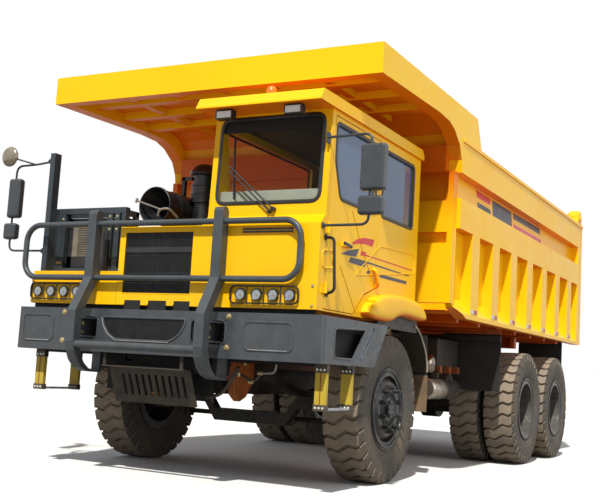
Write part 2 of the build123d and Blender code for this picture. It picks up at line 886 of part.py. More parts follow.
door_window = ((-1175, pane_low), (-455, pane_low), (-455, pane_high), (-1295, pane_high), (-1295, 2700))
quarter_window = ((-320, pane_low), (440, pane_low), (440, pane_high), (-320, pane_high))
right_window = ((-1150, pane_low), (360, pane_low), (360, pane_high), (-1250, pane_high))
screen_half = 490
screen_mid = (cab_inner + cab_outer) / 2
screen_low = 2340
screen_high = 3070
screen_corner = 70
rear_corner = 60
door_x = (cab_outer - cab_wall, cab_outer)
hinge_radius = 14
hinge_pin = 6
hinge_height = 45
hinge_x = cab_outer + hinge_radius
hinge_y = door_front - door_gap / 2
door_hinge_zs = (1600, 2080)


def rounded_hole(plane, width, height, depth, corner):
    """Cut a rounded opening through a wall, both ways from the plane."""
    with BuildSketch(plane) as outline:
        RectangleRounded(width, height, corner)
    extrude(outline.sketch, amount=depth, both=True, mode=Mode.SUBTRACT)


screen_lean = (screen_top_y - screen_y) / (cab_top - shelf_top)
screen_z = (screen_low + screen_high) / 2
screen_plane = Plane(
    origin=(screen_mid, aft(screen_y + cab_wall / 2 + screen_lean * (screen_z - shelf_top)), screen_z),
    x_dir=(1, 0, 0),
    z_dir=(0, -1, screen_lean),
)
rear_plane = Plane.XZ.offset(-aft(cab_rear - cab_wall / 2)).shift_origin(
    (screen_mid, aft(cab_rear - cab_wall / 2), (pane_low + pane_high) / 2)
)
with BuildPart() as cab_shell:
    side_plate(cab_profile, (cab_inner, cab_outer))
    side_plate(cab_hollow, (cab_inner + cab_wall, cab_outer - cab_wall), mode=Mode.SUBTRACT)
    side_plate(door_opening, (door_x[0] - 1, door_x[1] + 1), mode=Mode.SUBTRACT)
    side_plate(quarter_window, (door_x[0] - 1, door_x[1] + 1), mode=Mode.SUBTRACT)
    side_plate(right_window, (cab_inner - 1, cab_inner + cab_wall + 1), mode=Mode.SUBTRACT)
    rounded_hole(screen_plane, 2 * screen_half, screen_high - screen_low, cab_wall, screen_corner)
    rounded_hole(rear_plane, 2 * screen_half, pane_high - pane_low, cab_wall - 5, rear_corner)
    for y in carrier_ys:
        for x in (cab_inner + 80, cab_outer - 300):
            block((x, x + 120), (y - 40, y + 40), (rail_top + carrier_height, cab_bottom + 1))
    for z in door_hinge_zs:
        upright(hinge_x, hinge_y, (z, z + hinge_height), hinge_radius)
        upright(hinge_x, hinge_y, (z, z + 2 * hinge_height), hinge_pin)
        block((cab_outer - 1, cab_outer + 8), (hinge_y - 60, hinge_y), (z, z + hinge_height))

with BuildPart() as cab_roof:
    roof_low = cab_top + seat_gap
    side_plate(
        (
            (visor_front, roof_low + 12),
            (visor_front + 50, roof_low + roof_height),
            (cab_rear - 40, roof_low + roof_height),
            (cab_rear + 10, roof_low + 50),
            (cab_rear + 10, roof_low),
            (visor_front, roof_low),
        ),
        (cab_inner - visor_side, cab_outer + visor_side),
    )

with BuildPart() as cab_glass:
    x = (cab_outer - cab_wall / 2 - glass / 2, cab_outer - cab_wall / 2 + glass / 2)
    side_plate(quarter_window, x)
    side_plate(right_window, (cab_inner + cab_wall / 2 - glass / 2, cab_inner + cab_wall / 2 + glass / 2))
    with BuildSketch(screen_plane):
        RectangleRounded(2 * screen_half, screen_high - screen_low, screen_corner)
    extrude(amount=glass / 2, both=True)
    with BuildSketch(rear_plane):
        RectangleRounded(2 * screen_half, pane_high - pane_low, rear_corner)
    extrude(amount=glass / 2, both=True)

with BuildPart() as cab_door:
    side_plate(door_outline, door_x)
    side_plate(door_window, (door_x[0] - 1, door_x[1] + 1), mode=Mode.SUBTRACT)
    block((cab_outer - 1, cab_outer + 34), (-1110, -965), (2016, 2052))
    for z in door_hinge_zs:
        high = (z + hinge_height + hinge_gap, z + 2 * hinge_height)
        upright(hinge_x, hinge_y, high, hinge_radius)
        block((cab_outer - 1, cab_outer + 8), (hinge_y, hinge_y + 60), high)
        upright(hinge_x, hinge_y, high, hinge_pin + running_gap, mode=Mode.SUBTRACT)

with BuildPart() as door_glass:
    side_plate(door_window, (cab_outer - cab_wall / 2 - glass / 2, cab_outer - cab_wall / 2 + glass / 2))

# Cab inside
floor_z = cab_bottom + cab_wall
inside = (cab_inner + cab_wall + 2, door_x[0] - 6)
with BuildPart() as dashboard:
    side_plate(
        (
            (cab_front + cab_wall + seat_gap, 1900),
            (-1180, 1900),
            (-1120, 2180),
            (-1180, 2290),
            (screen_y + cab_wall + 20, 2290),
            (screen_y + cab_wall + 20, shelf_top - 30),
            (cab_front + cab_wall + seat_gap, shelf_bottom - 40),
        ),
        inside,
    )

with BuildPart() as driver_seat:
    seat_x = (790, 1290)
    block((seat_x[0] + 60, seat_x[1] - 60), (-560, -160), (floor_z + seat_gap, floor_z + 330))
    block(seat_x, (-640, -80), (floor_z + 330, floor_z + 460))
    side_plate(((-150, 1950), (-40, 1950), (60, 2640), (-40, 2640)), seat_x)
    block((seat_x[0] + 110, seat_x[1] - 110), (-20, 66), (2640, 2800))

with BuildPart() as steering_wheel:
    wheel_centre = ((seat_x[0] + seat_x[1]) / 2, aft(-900), 2260)
    column_lean = radians(20)
    column_radius = 38
    wheel_plane = Plane(origin=wheel_centre, z_dir=(0, sin(column_lean), cos(column_lean)))
    column_drop = wheel_centre[2] - floor_z - seat_gap - column_radius * sin(column_lean)
    with BuildSketch(wheel_plane):
        Circle(235)
        Circle(205, mode=Mode.SUBTRACT)
        Rectangle(420, 36)
        Circle(60)
    extrude(amount=14, both=True)
    with BuildSketch(wheel_plane):
        Circle(column_radius)
    extrude(amount=-column_drop / cos(column_lean))

# Roof lamps under the visor and the round beacon on the roof
with BuildPart() as roof_lamps:
    for x in (500, 1160):
        block((x - 95, x + 95), (visor_front - 50, visor_front + 60), (cab_top - 76, cab_top - 14))
        block((x - 20, x + 20), (visor_front + 10, visor_front + 50), (cab_top - 16, cab_top))
    upright(875, -1380, (cab_top + roof_height + 2 * seat_gap, cab_top + roof_height + 100), 42)

# Cooler unit on the deck: a tall dark frame about its finned core
with BuildPart() as cooler_unit:
    unit = ((-1440, -600), (-1330, -1130), (deck_height + seat_gap, 2360))
    block(*unit)
    for x, z in (((-1400, -1150), (1850, 2290)), ((-1110, -920), (1800, 2290)), ((-880, -640), (1800, 2290))):
        block(x, (-1335, -1250), z, mode=Mode.SUBTRACT)

# Air cleaner drum lying along the deck, with its mouth to the front and its feet on the deck
with BuildPart() as air_cleaner:
    cleaner = (-820, 2440, 165)
    with BuildSketch(Plane.XZ.offset(-aft(-150))):
        with Locations((cleaner[0], cleaner[1])):
            Circle(cleaner[2])
    extrude(amount=560)
    with BuildSketch(Plane.XZ.offset(-aft(-600))):
        with Locations((cleaner[0], cleaner[1])):
            Circle(cleaner[2] - 14)
    extrude(amount=120, mode=Mode.SUBTRACT)
    for y in (-560, -240):
        saddle_x = (cleaner[0] - 60, cleaner[0] + 60)
        block(saddle_x, (y - 25, y + 25), (deck_height + seat_gap, cleaner[1] - 120))
    upright(-480, -330, (deck_height + seat_gap, 2560), 70)
    upright(-480, -330, (2560, 2760), 130)
    upright(-480, -330, (2760, 2870), 100)

# Mirrors: a square post on the right deck, arms on the cab's front pillar on the left
mirror_reach = 2000
mirror_arm = mirror_reach - 130
mirror_pane = 210
mirror_depth = 80
mirror_tube = 16
mirror_bend = 40
# Heights of the two arms, and of the large and the small housing, on each side
right_arm_zs = (2790, 1950)
left_arm_zs = (2850, 2130)
right_panes = ((2262, 2640), (2058, 2212))
left_panes = ((2393, 2765), (2203, 2353))
right_pane_x = (-mirror_arm - 75, -mirror_arm + 95)
right_mirror_y = (-1490, -1490 + mirror_depth)
left_mirror_y = (-1520, -1520 + mirror_depth)
round_mirror_radius = 98
round_mirror_y = (-1530, -1500)
round_mirror_z = 2860
stay_radius = 10
with BuildPart() as mirror_right:
    post_x = (deck_outer + 51, deck_outer + 161)
    post_y = (-1460, -1386)
    post_middle = (post_x[0] + 55, post_y[0] + 37)
    block(post_x, post_y, (deck_height + seat_gap, 2870))
    top, low = right_arm_zs
    bent_tube(
        (
            (post_middle[0], post_middle[1], top),
            (-mirror_arm, -1440, top),
            (-mirror_arm, -1440, low),
            (post_middle[0], post_middle[1], low),
        ),
        mirror_bend,
        mirror_tube,
    )
    for z in right_panes:
        block(right_pane_x, right_mirror_y, z)
    round_mirror_x = -mirror_reach + round_mirror_radius
    with BuildSketch(Plane.XZ.offset(-aft(round_mirror_y[1]))):
        with Locations((round_mirror_x, round_mirror_z)):
            Circle(round_mirror_radius)
    extrude(amount=round_mirror_y[1] - round_mirror_y[0])
    stay_x = (-mirror_arm + 70, -mirror_arm + 90)
    cross_bar((round_mirror_x, stay_x[1]), -1510, round_mirror_z - 60, stay_radius)
    block(stay_x, (-1510, -1430), (top - 12, top + 20))

with BuildPart() as mirror_left:
    top, low = left_arm_zs
    bent_tube(
        (
            (cab_outer - 30, -1436, top),
            (mirror_arm, -1470, top),
            (mirror_arm, -1470, low),
            (cab_outer + 10, -1470, low),
        ),
        mirror_bend,
        mirror_tube,
    )
    block((cab_outer + seat_gap, cab_outer + 14), (-1494, -1446), (low - 28, low + 28))
    bracket_rear = screen_y + (top - 50 - shelf_top) * screen_lean - seat_gap
    block((cab_outer - 60, cab_outer), (-1450, bracket_rear), (top - 50, top + 50))
    for z in left_panes:
        block((mirror_reach - mirror_pane, mirror_reach), left_mirror_y, z)

# Wheel arches of the cab: a pressed yellow flare on each side
with BuildPart() as wheel_arches:
    flare = (
        (-flare_half, 1470),
        (-520, 1620),
        (-300, flare_top),
        (280, flare_top),
        (500, 1620),
        (flare_half, 1470),
        (flare_half - 30, 1450),
        (480, 1590),
        (270, flare_top - 30),
        (-290, flare_top - 30),
        (-500, 1590),
        (-flare_half + 30, 1450),
    )
    side_plate(flare, (cab_outer + seat_gap, cab_outer + 100))
    side_plate(flare, (deck_outer - 100, deck_outer - seat_gap))

# Black inner guards behind the front wheels, with hanging rubber flaps, and flaps before the rear wheels
with BuildPart() as mudguards:
    for side in (-1, 1):
        x = sorted((side * 1060, side * 1480))
        side_plate(((935, 1400), (955, 1400), (1015, 1040), (995, 1040)), x)
        block(x, (996, 1006), (640, 1041))
        arm = sorted((side * 1220, side * 1280))
        arm_y = (carrier_ys[1] + carrier_half + seat_gap, 955)
        block(arm, arm_y, (rail_top + arch_clear, rail_top + carrier_height))
        wide = sorted((side * 1000, side * 1700))
        block(wide, (rear_flap_y, rear_flap_y + flap_thickness), (865, 1520))
        bar = sorted((side * rail_outer, side * 1700))
        block(bar, (rear_flap_y - 40, rear_flap_y), (1440, 1500))

# Steps hung on straps under the bumper's ends
with BuildPart() as steps:
    step_drop = 350
    strap_ys = (-1362, -888)
    for strap_x, bumper_side in (((-1460, -1360), -bumper_half), ((1435, 1535), bumper_half)):
        under_return = (min(strap_x[0], bumper_side), max(strap_x[1], bumper_side))
        tread_z = bumper_bottom - step_drop
        for y in strap_ys:
            block(strap_x, (y, y + 8), (tread_z, bumper_bottom - 20))
            block(under_return, (y - 24, y + 16), (bumper_bottom - 34, bumper_bottom - seat_gap))
            block(strap_x, (y - 10, y + 18), (tread_z - 14, tread_z + 26))
        block(strap_x, strap_ys, (tread_z - 14, tread_z))

# Tanks behind the front wheels: fuel on the right, silencer and battery box on the left
with BuildPart() as side_tanks:
    tank_low = tank_arm_low + tank_arm_height + seat_gap
    silencer_radius = 145
    block((-1240, -520), (tank_front, tank_rear), (tank_low, 1520))
    cross_bar((620, 1240), tank_arm_ys[1], tank_arm_low - silencer_radius - seat_gap, silencer_radius)
    block((620, 1200), (tank_front + 40, tank_rear), (tank_low, 1420))

# Tipping body: floor on two sills, with cross bearers between them
bed_front_y = body_front + 100
with BuildPart() as bed_floor:
    inner = wall_outer - wall_thickness - seat_gap
    floor_low = body_bottom + strip_height
    block((-inner, inner), (bed_front_y, body_rear - 110), (floor_low, floor_low + floor_thickness))
    for side in (-1, 1):
        x = sorted((side * sill_outer, side * (sill_outer - sill_width)))
        side_plate(
            (
                (bed_front_y + 20, floor_low),
                (bed_front_y + 20, sill_bottom + 140),
                (bed_front_y + 260, sill_bottom),
                (tip_pin[0] - 190, sill_bottom),
                (tip_pin[0] - 190, floor_low),
            ),
            x,
        )
        # Hinge lugs outside the sills
        lug = sorted((side * (rail_outer + side_gap), side * (rail_outer + side_gap + 40)))
        side_plate(
            (
                (tip_pin[0] - 170, floor_low),
                (tip_pin[0] - 60, tip_pin[1] - 55),
                (tip_pin[0] + 60, tip_pin[1] - 55),
                (tip_pin[0] + 170, floor_low),
            ),
            lug,
        )
        cross_bar(lug, *tip_pin, pin_radius + running_gap, mode=Mode.SUBTRACT)
        # Cheeks that take the hoist rod's eye
        cheek_gap = hoist_rod_radius + side_gap
        for cheek in (side * hoist_x - cheek_gap - 15, side * hoist_x + cheek_gap):
            side_plate(
                (
                    (hoist_eye[0] - 100, floor_low),
                    (hoist_eye[0] - 50, hoist_eye[1] - 50),
                    (hoist_eye[0] + 50, hoist_eye[1] - 50),
                    (hoist_eye[0] + 100, floor_low),
                ),
                (cheek, cheek + 15),
            )
    bearer_count = 7
    bearer_first = bed_front_y + 400
    bearer_pitch = (tip_pin[0] - 202 - bearer_first) / (bearer_count - 1)
    for index in range(bearer_count):
        y = bearer_first + index * bearer_pitch
        block((-inner + 2, inner - 2), (y - 40, y + 40), (floor_low - 80, floor_low))


def bed_side(side):
    """Side of the body: wall, bottom strip, two rails, upright ribs, ledges and the gate's lug."""
    with BuildPart() as part:
        side_plate(
            (
                (bed_front_y, body_bottom),
                (body_rear, body_bottom),
                (body_rear, top_rail[1]),
                (bed_front_y, top_rail[1]),
            ),
            (wall_outer - wall_thickness, wall_outer),
        )
        front_plate(
            (
                (wall_outer, body_bottom),
                (body_half, body_bottom),
                (body_half, body_bottom + strip_height),
                (wall_outer, body_bottom + ledge_rise),
            ),
            (bed_front_y, body_rear),
        )
        block((wall_outer, body_half), (bed_front_y, body_rear), mid_rail)
        block((wall_outer, body_half), (bed_front_y, body_rear), top_rail)
        block((wall_outer, body_half + lip_overhang), (bed_front_y, body_rear),
              (top_rail[1] - top_lip, top_rail[1]))
        for index in range(rib_count):
            centre = rib_first + index * rib_pitch
            block(
                (wall_outer, body_half),
                (centre - rib_width / 2, centre + rib_width / 2),
                (body_bottom, mid_rail[0] + 1),
            )
        block((wall_outer, body_half), (body_rear - rear_post, body_rear), (body_bottom, top_rail[1]))
        side_plate(
            (
                (body_front - 10, body_bottom - 1),
                (body_front + corner_cut[0], body_bottom - 1),
                (body_front, body_bottom + corner_cut[1]),
            ),
            (wall_outer - 60, body_half + 20),
            mode=Mode.SUBTRACT,
        )
        lug = (gate_pin[0] - 180, gate_pin[0] + 150)
        side_plate(
            (
                (lug[0], top_rail[1] - 1),
                (lug[1], top_rail[1] - 1),
                (gate_pin[0] + 60, gate_pin[1] + 75),
                (gate_pin[0] - 60, gate_pin[1] + 75),
            ),
            (wall_outer + 12, body_half),
        )
        cross_bar((wall_outer - 120, body_half), *gate_pin, pin_radius)
        if side < 0:
            mirror(about=Plane.YZ, mode=Mode.REPLACE)
    return part.part


bed_sides = {"bed_side_left": bed_side(1), "bed_side_right": bed_side(-1)}

# Front wall of the body with its cross stiffeners
with BuildPart() as bed_headboard:
    plate = (bed_front_y - wall_thickness - seat_gap, bed_front_y - seat_gap)
    block((-body_half + 40, body_half - 40), plate, (body_bottom + 130, top_rail[0] + 8))
    stiffeners = ((1728, 2330), (2440, 2760), (top_rail[0] + 4, top_rail[1] - 80))
    for low, high in stiffeners[:2]:
        block((-body_half + 44, body_half - 44), (body_front, plate[0] + 1), (low, high))
    top_half = body_half - canopy_beam - seat_gap
    block((-top_half, top_half), (body_front, plate[1]), stiffeners[2])
    for side in (-1, 1):
        block(
            sorted((side * (body_half - 44), side * (body_half - 104))),
            (body_front, plate[0] + 1),
            (stiffeners[0][0], top_rail[0] - seat_gap),
        )
    block((-sill_outer, sill_outer), (plate[0], plate[1]), (body_bottom + strip_height, body_bottom + 131))

# Canopy over the cab: a tray with deep edges, curved down into the front wall
with BuildPart() as bed_canopy:
    low = canopy_top - canopy_depth
    skin = (canopy_top - 130, canopy_top - 130 + canopy_skin)
    inner_x = body_half - canopy_beam
    block((-inner_x, inner_x), (canopy_front, 700), skin)
    block((-body_half, body_half), (canopy_front, canopy_front + 110), (low, canopy_top))
    for side in (-1, 1):
        side_plate(
            (
                (canopy_front, low),
                (280, low + 34),
                (570, low + 22),
                (730, low - 29),
                (900, low - 142),
                (977, low - 278),
                (bed_front_y - seat_gap, top_rail[0] + 10),
                (bed_front_y - seat_gap, top_rail[1] + seat_gap),
                (canopy_end + canopy_slope, top_rail[1] + seat_gap),
                (canopy_end, canopy_top),
                (canopy_front, canopy_top),
            ),
            sorted((side * inner_x, side * body_half)),
        )
    side_plate(
        (
            (699, skin[0]),
            (840, skin[0] - 60),
            (930, skin[0] - 150),
            (bed_front_y - 30, stiffeners[2][1] + seat_gap),
            (bed_front_y - 2, stiffeners[2][1] + seat_gap),
            (950, skin[0] - 140),
            (850, skin[0] - 48),
            (699, skin[1]),
        ),
        (-inner_x, inner_x),
    )
    for y in (-640, -180, 280):
        block((-inner_x, inner_x), (y - 45, y + 45), (skin[0] - 75, skin[0] + 1))
    for x in (-1080, -540, 0, 540, 1080):
        block((x - 35, x + 35), (canopy_front + 100, 640), (skin[0] - 60, skin[0] + 1))

# Rubber flaps hung from the body behind the rear wheels
with BuildPart() as bed_flaps:
    for side in (-1, 1):
        flap_y = mid_axle + tandem_gap + tyre_radius + 205
        x = sorted((side * (wall_outer - 15 - bed_flap_width), side * (wall_outer - 15)))
        block(x, (flap_y, flap_y + flap_thickness), (1130, body_bottom + strip_height - seat_gap))

# Tail gate, hung from the two lugs by its arms
with BuildPart() as tailgate:
    gate_half = wall_outer - wall_thickness - side_gap
    gate_front = body_rear - 90
    gate = (gate_front, body_rear - 40)
    block((-gate_half, gate_half), gate, (body_bottom + strip_height + 10, top_rail[1] - 30))
    gate_low = body_bottom + strip_height + 15
    gate_high = top_rail[1] - 30
    gate_bar = 85
    gate_bars = 4
    for index in range(gate_bars):
        z = gate_low + index * (gate_high - gate_bar - gate_low) / (gate_bars - 1)
        block((-gate_half, gate_half), (gate[1] - 1, body_rear), (z, z + gate_bar))
    for x in (-gate_half, -700, 610, gate_half - 90):
        block((x, x + 90), (gate[1] - 1, body_rear), (gate_low, gate_high))
    for side in (-1, 1):
        arm = sorted((side * (gate_half - 100), side * (gate_half - 60)))
        side_plate(
            (
                (gate_pin[0] - 66, gate_pin[1] - 20),
                (gate_pin[0] - 40, gate_pin[1] + 66),
                (gate_pin[0] + 40, gate_pin[1] + 66),
                (gate[1], top_rail[1] - 31),
                (gate[1], top_rail[1] - 300),
                (gate[0], top_rail[1] - 300),
            ),
            arm,
        )
        cross_bar(arm, *gate_pin, pin_radius + running_gap, mode=Mode.SUBTRACT)

# Hoist: twin barrels on one shaft and twin rods whose eyes lie between the body's cheeks
hoist_run = (hoist_eye[0] - hoist_base[0], hoist_eye[1] - hoist_base[1])
hoist_length = (hoist_run[0] ** 2 + hoist_run[1] ** 2) ** 0.5
hoist_dir = (hoist_run[0] / hoist_length, hoist_run[1] / hoist_length)
hoist_stroke_room = 1240


def hoist_plane(x, distance):
    """Plane across a hoist, this far from its base pin towards the eye."""
    return Plane(
        origin=(x, aft(hoist_base[0] + distance * hoist_dir[0]), hoist_base[1] + distance * hoist_dir[1]),
        z_dir=(0, hoist_dir[0], hoist_dir[1]),
    )


barrel_start = 70
barrel_end = hoist_length - 230
with BuildPart() as hoist_barrels:
    for x in (-hoist_x, hoist_x):
        with BuildSketch(hoist_plane(x, barrel_start)):
            Circle(hoist_barrel_radius)
        extrude(amount=barrel_end - barrel_start)
        with BuildSketch(hoist_plane(x, barrel_start + 60)):
            Circle(hoist_rod_radius + running_gap)
        extrude(amount=hoist_length, mode=Mode.SUBTRACT)
        cross_bar((x - 60, x + 60), *hoist_base, 80)
        cross_bar((x - 61, x + 61), *hoist_base, pin_radius + running_gap, mode=Mode.SUBTRACT)

with BuildPart() as hoist_rods:
    for x in (-hoist_x, hoist_x):
        with BuildSketch(hoist_plane(x, barrel_end - hoist_stroke_room - 200)):
            Circle(hoist_rod_radius)
        extrude(amount=hoist_length - barrel_end + hoist_stroke_room + 200)
        cross_bar((x - 50, x + 50), *hoist_eye, hoist_eye_radius)

pieces = {
    "axle_housings": axle_housings.part,
    "chassis_frame": chassis_frame.part,
    "leaf_springs": leaf_springs.part,
    "engine_block": engine_block.part,
    "driveline": driveline.part,
    "track_rod": track_rod.part,
    "front_bumper": front_bumper.part,
    "skid_plate": skid_plate.part,
    "front_guard": front_guard.part,
    "grille_frame": grille_frame.part,
    "grille_core": grille_core.part,
    "right_deck": right_deck.part,
    "headlamps": headlamps.part,
    "lamp_cages": lamp_cages.part,
    "cab_shell": cab_shell.part,
    "cab_roof": cab_roof.part,
    "cab_glass": cab_glass.part,
    "cab_door": cab_door.part,
    "door_glass": door_glass.part,
    "dashboard": dashboard.part,
    "driver_seat": driver_seat.part,
    "steering_wheel": steering_wheel.part,
    "roof_lamps": roof_lamps.part,
    "cooler_unit": cooler_unit.part,
    "air_cleaner": air_cleaner.part,
    "mirror_right": mirror_right.part,
    "mirror_left": mirror_left.part,
    "wheel_arches": wheel_arches.part,
    "mudguards": mudguards.part,
    "steps": steps.part,
    "side_tanks": side_tanks.part,
    "bed_floor": bed_floor.part,
    "bed_headboard": bed_headboard.part,
    "bed_canopy": bed_canopy.part,
    "bed_flaps": bed_flaps.part,
    "tailgate": tailgate.part,
    "hoist_barrels": hoist_barrels.part,
    "hoist_rods": hoist_rods.part,
}
pieces.update(knuckles)
pieces.update(wheels)
pieces.update(bed_sides)

os.makedirs("parts", exist_ok=True)
for name, piece in pieces.items():
    piece.label = name
    export_step(piece, f"parts/{name}.step")
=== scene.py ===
import json
from math import cos, pi, radians, sin

import bpy
import numpy as np
from mathutils import Matrix


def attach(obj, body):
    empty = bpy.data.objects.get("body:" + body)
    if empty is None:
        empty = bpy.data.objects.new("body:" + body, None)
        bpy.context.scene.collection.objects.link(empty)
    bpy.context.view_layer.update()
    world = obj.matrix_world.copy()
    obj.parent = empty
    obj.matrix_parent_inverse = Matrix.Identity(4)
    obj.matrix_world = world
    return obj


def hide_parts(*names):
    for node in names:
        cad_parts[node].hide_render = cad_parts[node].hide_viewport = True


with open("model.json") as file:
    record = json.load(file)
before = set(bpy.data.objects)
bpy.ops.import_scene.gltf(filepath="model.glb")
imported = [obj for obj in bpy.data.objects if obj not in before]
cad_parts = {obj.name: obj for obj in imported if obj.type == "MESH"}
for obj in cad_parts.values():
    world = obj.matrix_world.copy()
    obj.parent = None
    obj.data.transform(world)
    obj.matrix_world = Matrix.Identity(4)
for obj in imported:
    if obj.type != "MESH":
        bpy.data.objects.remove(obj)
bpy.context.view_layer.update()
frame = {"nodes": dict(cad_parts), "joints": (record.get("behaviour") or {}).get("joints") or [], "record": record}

# The truck stands with its front towards -Y and its cab on the +X side. Metres throughout.
joints = {joint["name"]: joint for joint in frame["joints"]}
forward, backward, upward, leftward = (0, -1, 0), (0, 1, 0), (0, 0, 1), (1, 0, 0)
front_axle_y = joints["spin_front_left"]["pos_m"][1]
axle_z = joints["spin_front_left"]["pos_m"][2]
axle_setback = 0.12
datum_y = front_axle_y - axle_setback
deck_top = 1.7553


def aft(distance):
    """Y of a point this far behind the middle of the cab's wheel arches."""
    return datum_y + distance


def placed(point):
    """Place of a point given as X, distance behind the datum and Z."""
    x, distance, z = point
    return x, aft(distance), z


def side_view(outline):
    """(Y, Z) of points given as distance behind the datum and height."""
    return [(aft(distance), z) for distance, z in outline]


def on_side(outline, x):
    """Points in the plane at X, given as distance behind the datum and height."""
    return [(x, aft(distance), z) for distance, z in outline]


def front_view(outline, y):
    """Points in the plane at Y, given as X and height."""
    return [(x, y, z) for x, z in outline]


# Meshes


def grid_faces(rows, columns, wrap_rows=False, wrap_columns=False):
    """Quads between the neighbours of a rows by columns grid, round again where it wraps."""
    i, j = np.meshgrid(
        np.arange(rows if wrap_rows else rows - 1),
        np.arange(columns if wrap_columns else columns - 1),
        indexing="ij",
    )
    i, j = i.ravel(), j.ravel()
    i2, j2 = (i + 1) % rows, (j + 1) % columns
    return np.stack([i * columns + j, i2 * columns + j, i2 * columns + j2, i * columns + j2], 1)


def surface(points, wrap_rows=False, wrap_columns=False, caps=False):
    """A grid of points as (vertices, faces); caps close the first and last row with one face each."""
    rows, columns = points.shape[:2]
    faces = [grid_faces(rows, columns, wrap_rows, wrap_columns)]
    if caps:
        ring = np.arange(columns)
        faces.append(ring[None, :])
        faces.append((rows - 1) * columns + ring[None, ::-1])
    return points.reshape(-1, 3), faces


def lathe(profile, centre, axis, steps=48, closed=False):
    """Rings round an axis: each (along, radius) pair is swung through a full turn about it."""
    profile = np.asarray(profile, float)
    axis = np.asarray(axis, float) / np.linalg.norm(axis)
    side = np.cross(axis, (0, 0, 1) if abs(axis[2]) < 0.9 else (1, 0, 0))
    side /= np.linalg.norm(side)
    up = np.cross(axis, side)
    turn = np.linspace(0, 2 * pi, steps, endpoint=False)
    ring = np.cos(turn)[:, None] * side + np.sin(turn)[:, None] * up
    points = (
        np.asarray(centre, float)
        + profile[:, 0, None, None] * axis
        + profile[:, 1, None, None] * ring[None]
    )
    return surface(points, wrap_rows=closed, wrap_columns=True, caps=not closed)


def rod(start, end, radius, steps=16):
    """Straight round bar: a ring at each end, a little chamfered."""
    start, end = np.asarray(start, float), np.asarray(end, float)
    length = np.linalg.norm(end - start)
    edge = min(radius * 0.2, length * 0.2)
    profile = ((0, radius - edge), (edge, radius), (length - edge, radius), (length, radius - edge))
    return lathe(profile, start, end - start, steps)


def rounded_path(corners, bend, steps=6):
    """Polyline whose inner corners are replaced by arcs that touch both runs."""
    corners = [np.asarray(c, float) for c in corners]
    path = [corners[0]]
    for before, corner, after in zip(corners, corners[1:], corners[2:]):
        a, b = before - corner, after - corner
        reach = min(bend, np.linalg.norm(a) * 0.48, np.linalg.norm(b) * 0.48)
        a, b = a / np.linalg.norm(a) * reach, b / np.linalg.norm(b) * reach
        t = np.linspace(0, 1, steps)[:, None]
        path.extend(corner + (1 - t) ** 2 * a + t**2 * b)
    path.append(corners[-1])
    return np.array(path)


def sweep(path, section, caps=True):
    """A closed (side, up) section carried along a path, kept from twisting from point to point."""
    path = np.asarray(path, float)
    tangent = np.gradient(path, axis=0)
    tangent /= np.linalg.norm(tangent, axis=1)[:, None]
    side = np.cross(tangent[0], (0, 0, 1) if abs(tangent[0][2]) < 0.9 else (0, 1, 0))
    sides = []
    for direction in tangent:
        side = side - direction * np.dot(side, direction)
        side /= np.linalg.norm(side)
        sides.append(side)
    sides = np.array(sides)
    ups = np.cross(sides, tangent)
    section = np.asarray(section, float)
    points = (
        path[:, None]
        + section[None, :, 0, None] * sides[:, None]
        + section[None, :, 1, None] * ups[:, None]
    )
    return surface(points, wrap_columns=True, caps=caps)


def circle(radius, steps=12):
    """Points round a circle."""
    turn = np.linspace(0, 2 * pi, steps, endpoint=False)
    return np.stack([radius * np.cos(turn), radius * np.sin(turn)], 1)


def tube(corners, bend, radius, steps=12):
    """Round tube along straight runs joined by arcs."""
    return sweep(rounded_path(corners, bend), circle(radius, steps))


def slab(low, high):
    """Box between two corners."""
    (x0, y0, z0), (x1, y1, z1) = low, high
    points = np.array(
        [(x, y, z) for z in (z0, z1) for x, y in ((x0, y0), (x1, y0), (x1, y1), (x0, y1))], float
    )
    ring = np.arange(4)
    sides = np.stack([ring, (ring + 1) % 4, (ring + 1) % 4 + 4, ring + 4], 1)
    return points, [sides, np.array([[3, 2, 1, 0], [4, 5, 6, 7]])]


def block(low, high):
    """Box between two corners given as X, distance behind the datum and Z."""
    return slab(placed(low), placed(high))


def handed(side, low, high):
    """Box on the left (1) or the right (-1), its corners given as for the left."""
    near, far = sorted((side * low[0], side * high[0]))
    return block((near, *low[1:]), (far, *high[1:]))


def bar(start, end, radius, steps=16):
    """Straight round bar between points given as X, distance behind the datum and Z."""
    return rod(placed(start), placed(end), radius, steps)


def pipe(corners, bend, radius, steps=12):
    """Round tube through points given as X, distance behind the datum and Z."""
    return tube([placed(corner) for corner in corners], bend, radius, steps)


def prism(outline, low, high, axis):
    """Flat outline carried from low to high along one axis (0, 1 or 2); the outline holds the other two."""
    outline = np.asarray(outline, float)
    other = [k for k in range(3) if k != axis]
    area = np.sum(outline[:, 0] * np.roll(outline[:, 1], -1) - np.roll(outline[:, 0], -1) * outline[:, 1])
    if (area < 0) != (axis == 1):
        outline = outline[::-1]
    points = np.zeros((2, len(outline), 3))
    points[:, :, other] = outline
    points[0, :, axis], points[1, :, axis] = low, high
    count = len(outline)
    ring = np.arange(count)
    following = (ring + 1) % count
    sides = np.stack([ring, following, following + count, ring + count], 1)
    return points.reshape(-1, 3), [sides, ring[None, ::-1], ring[None] + count]


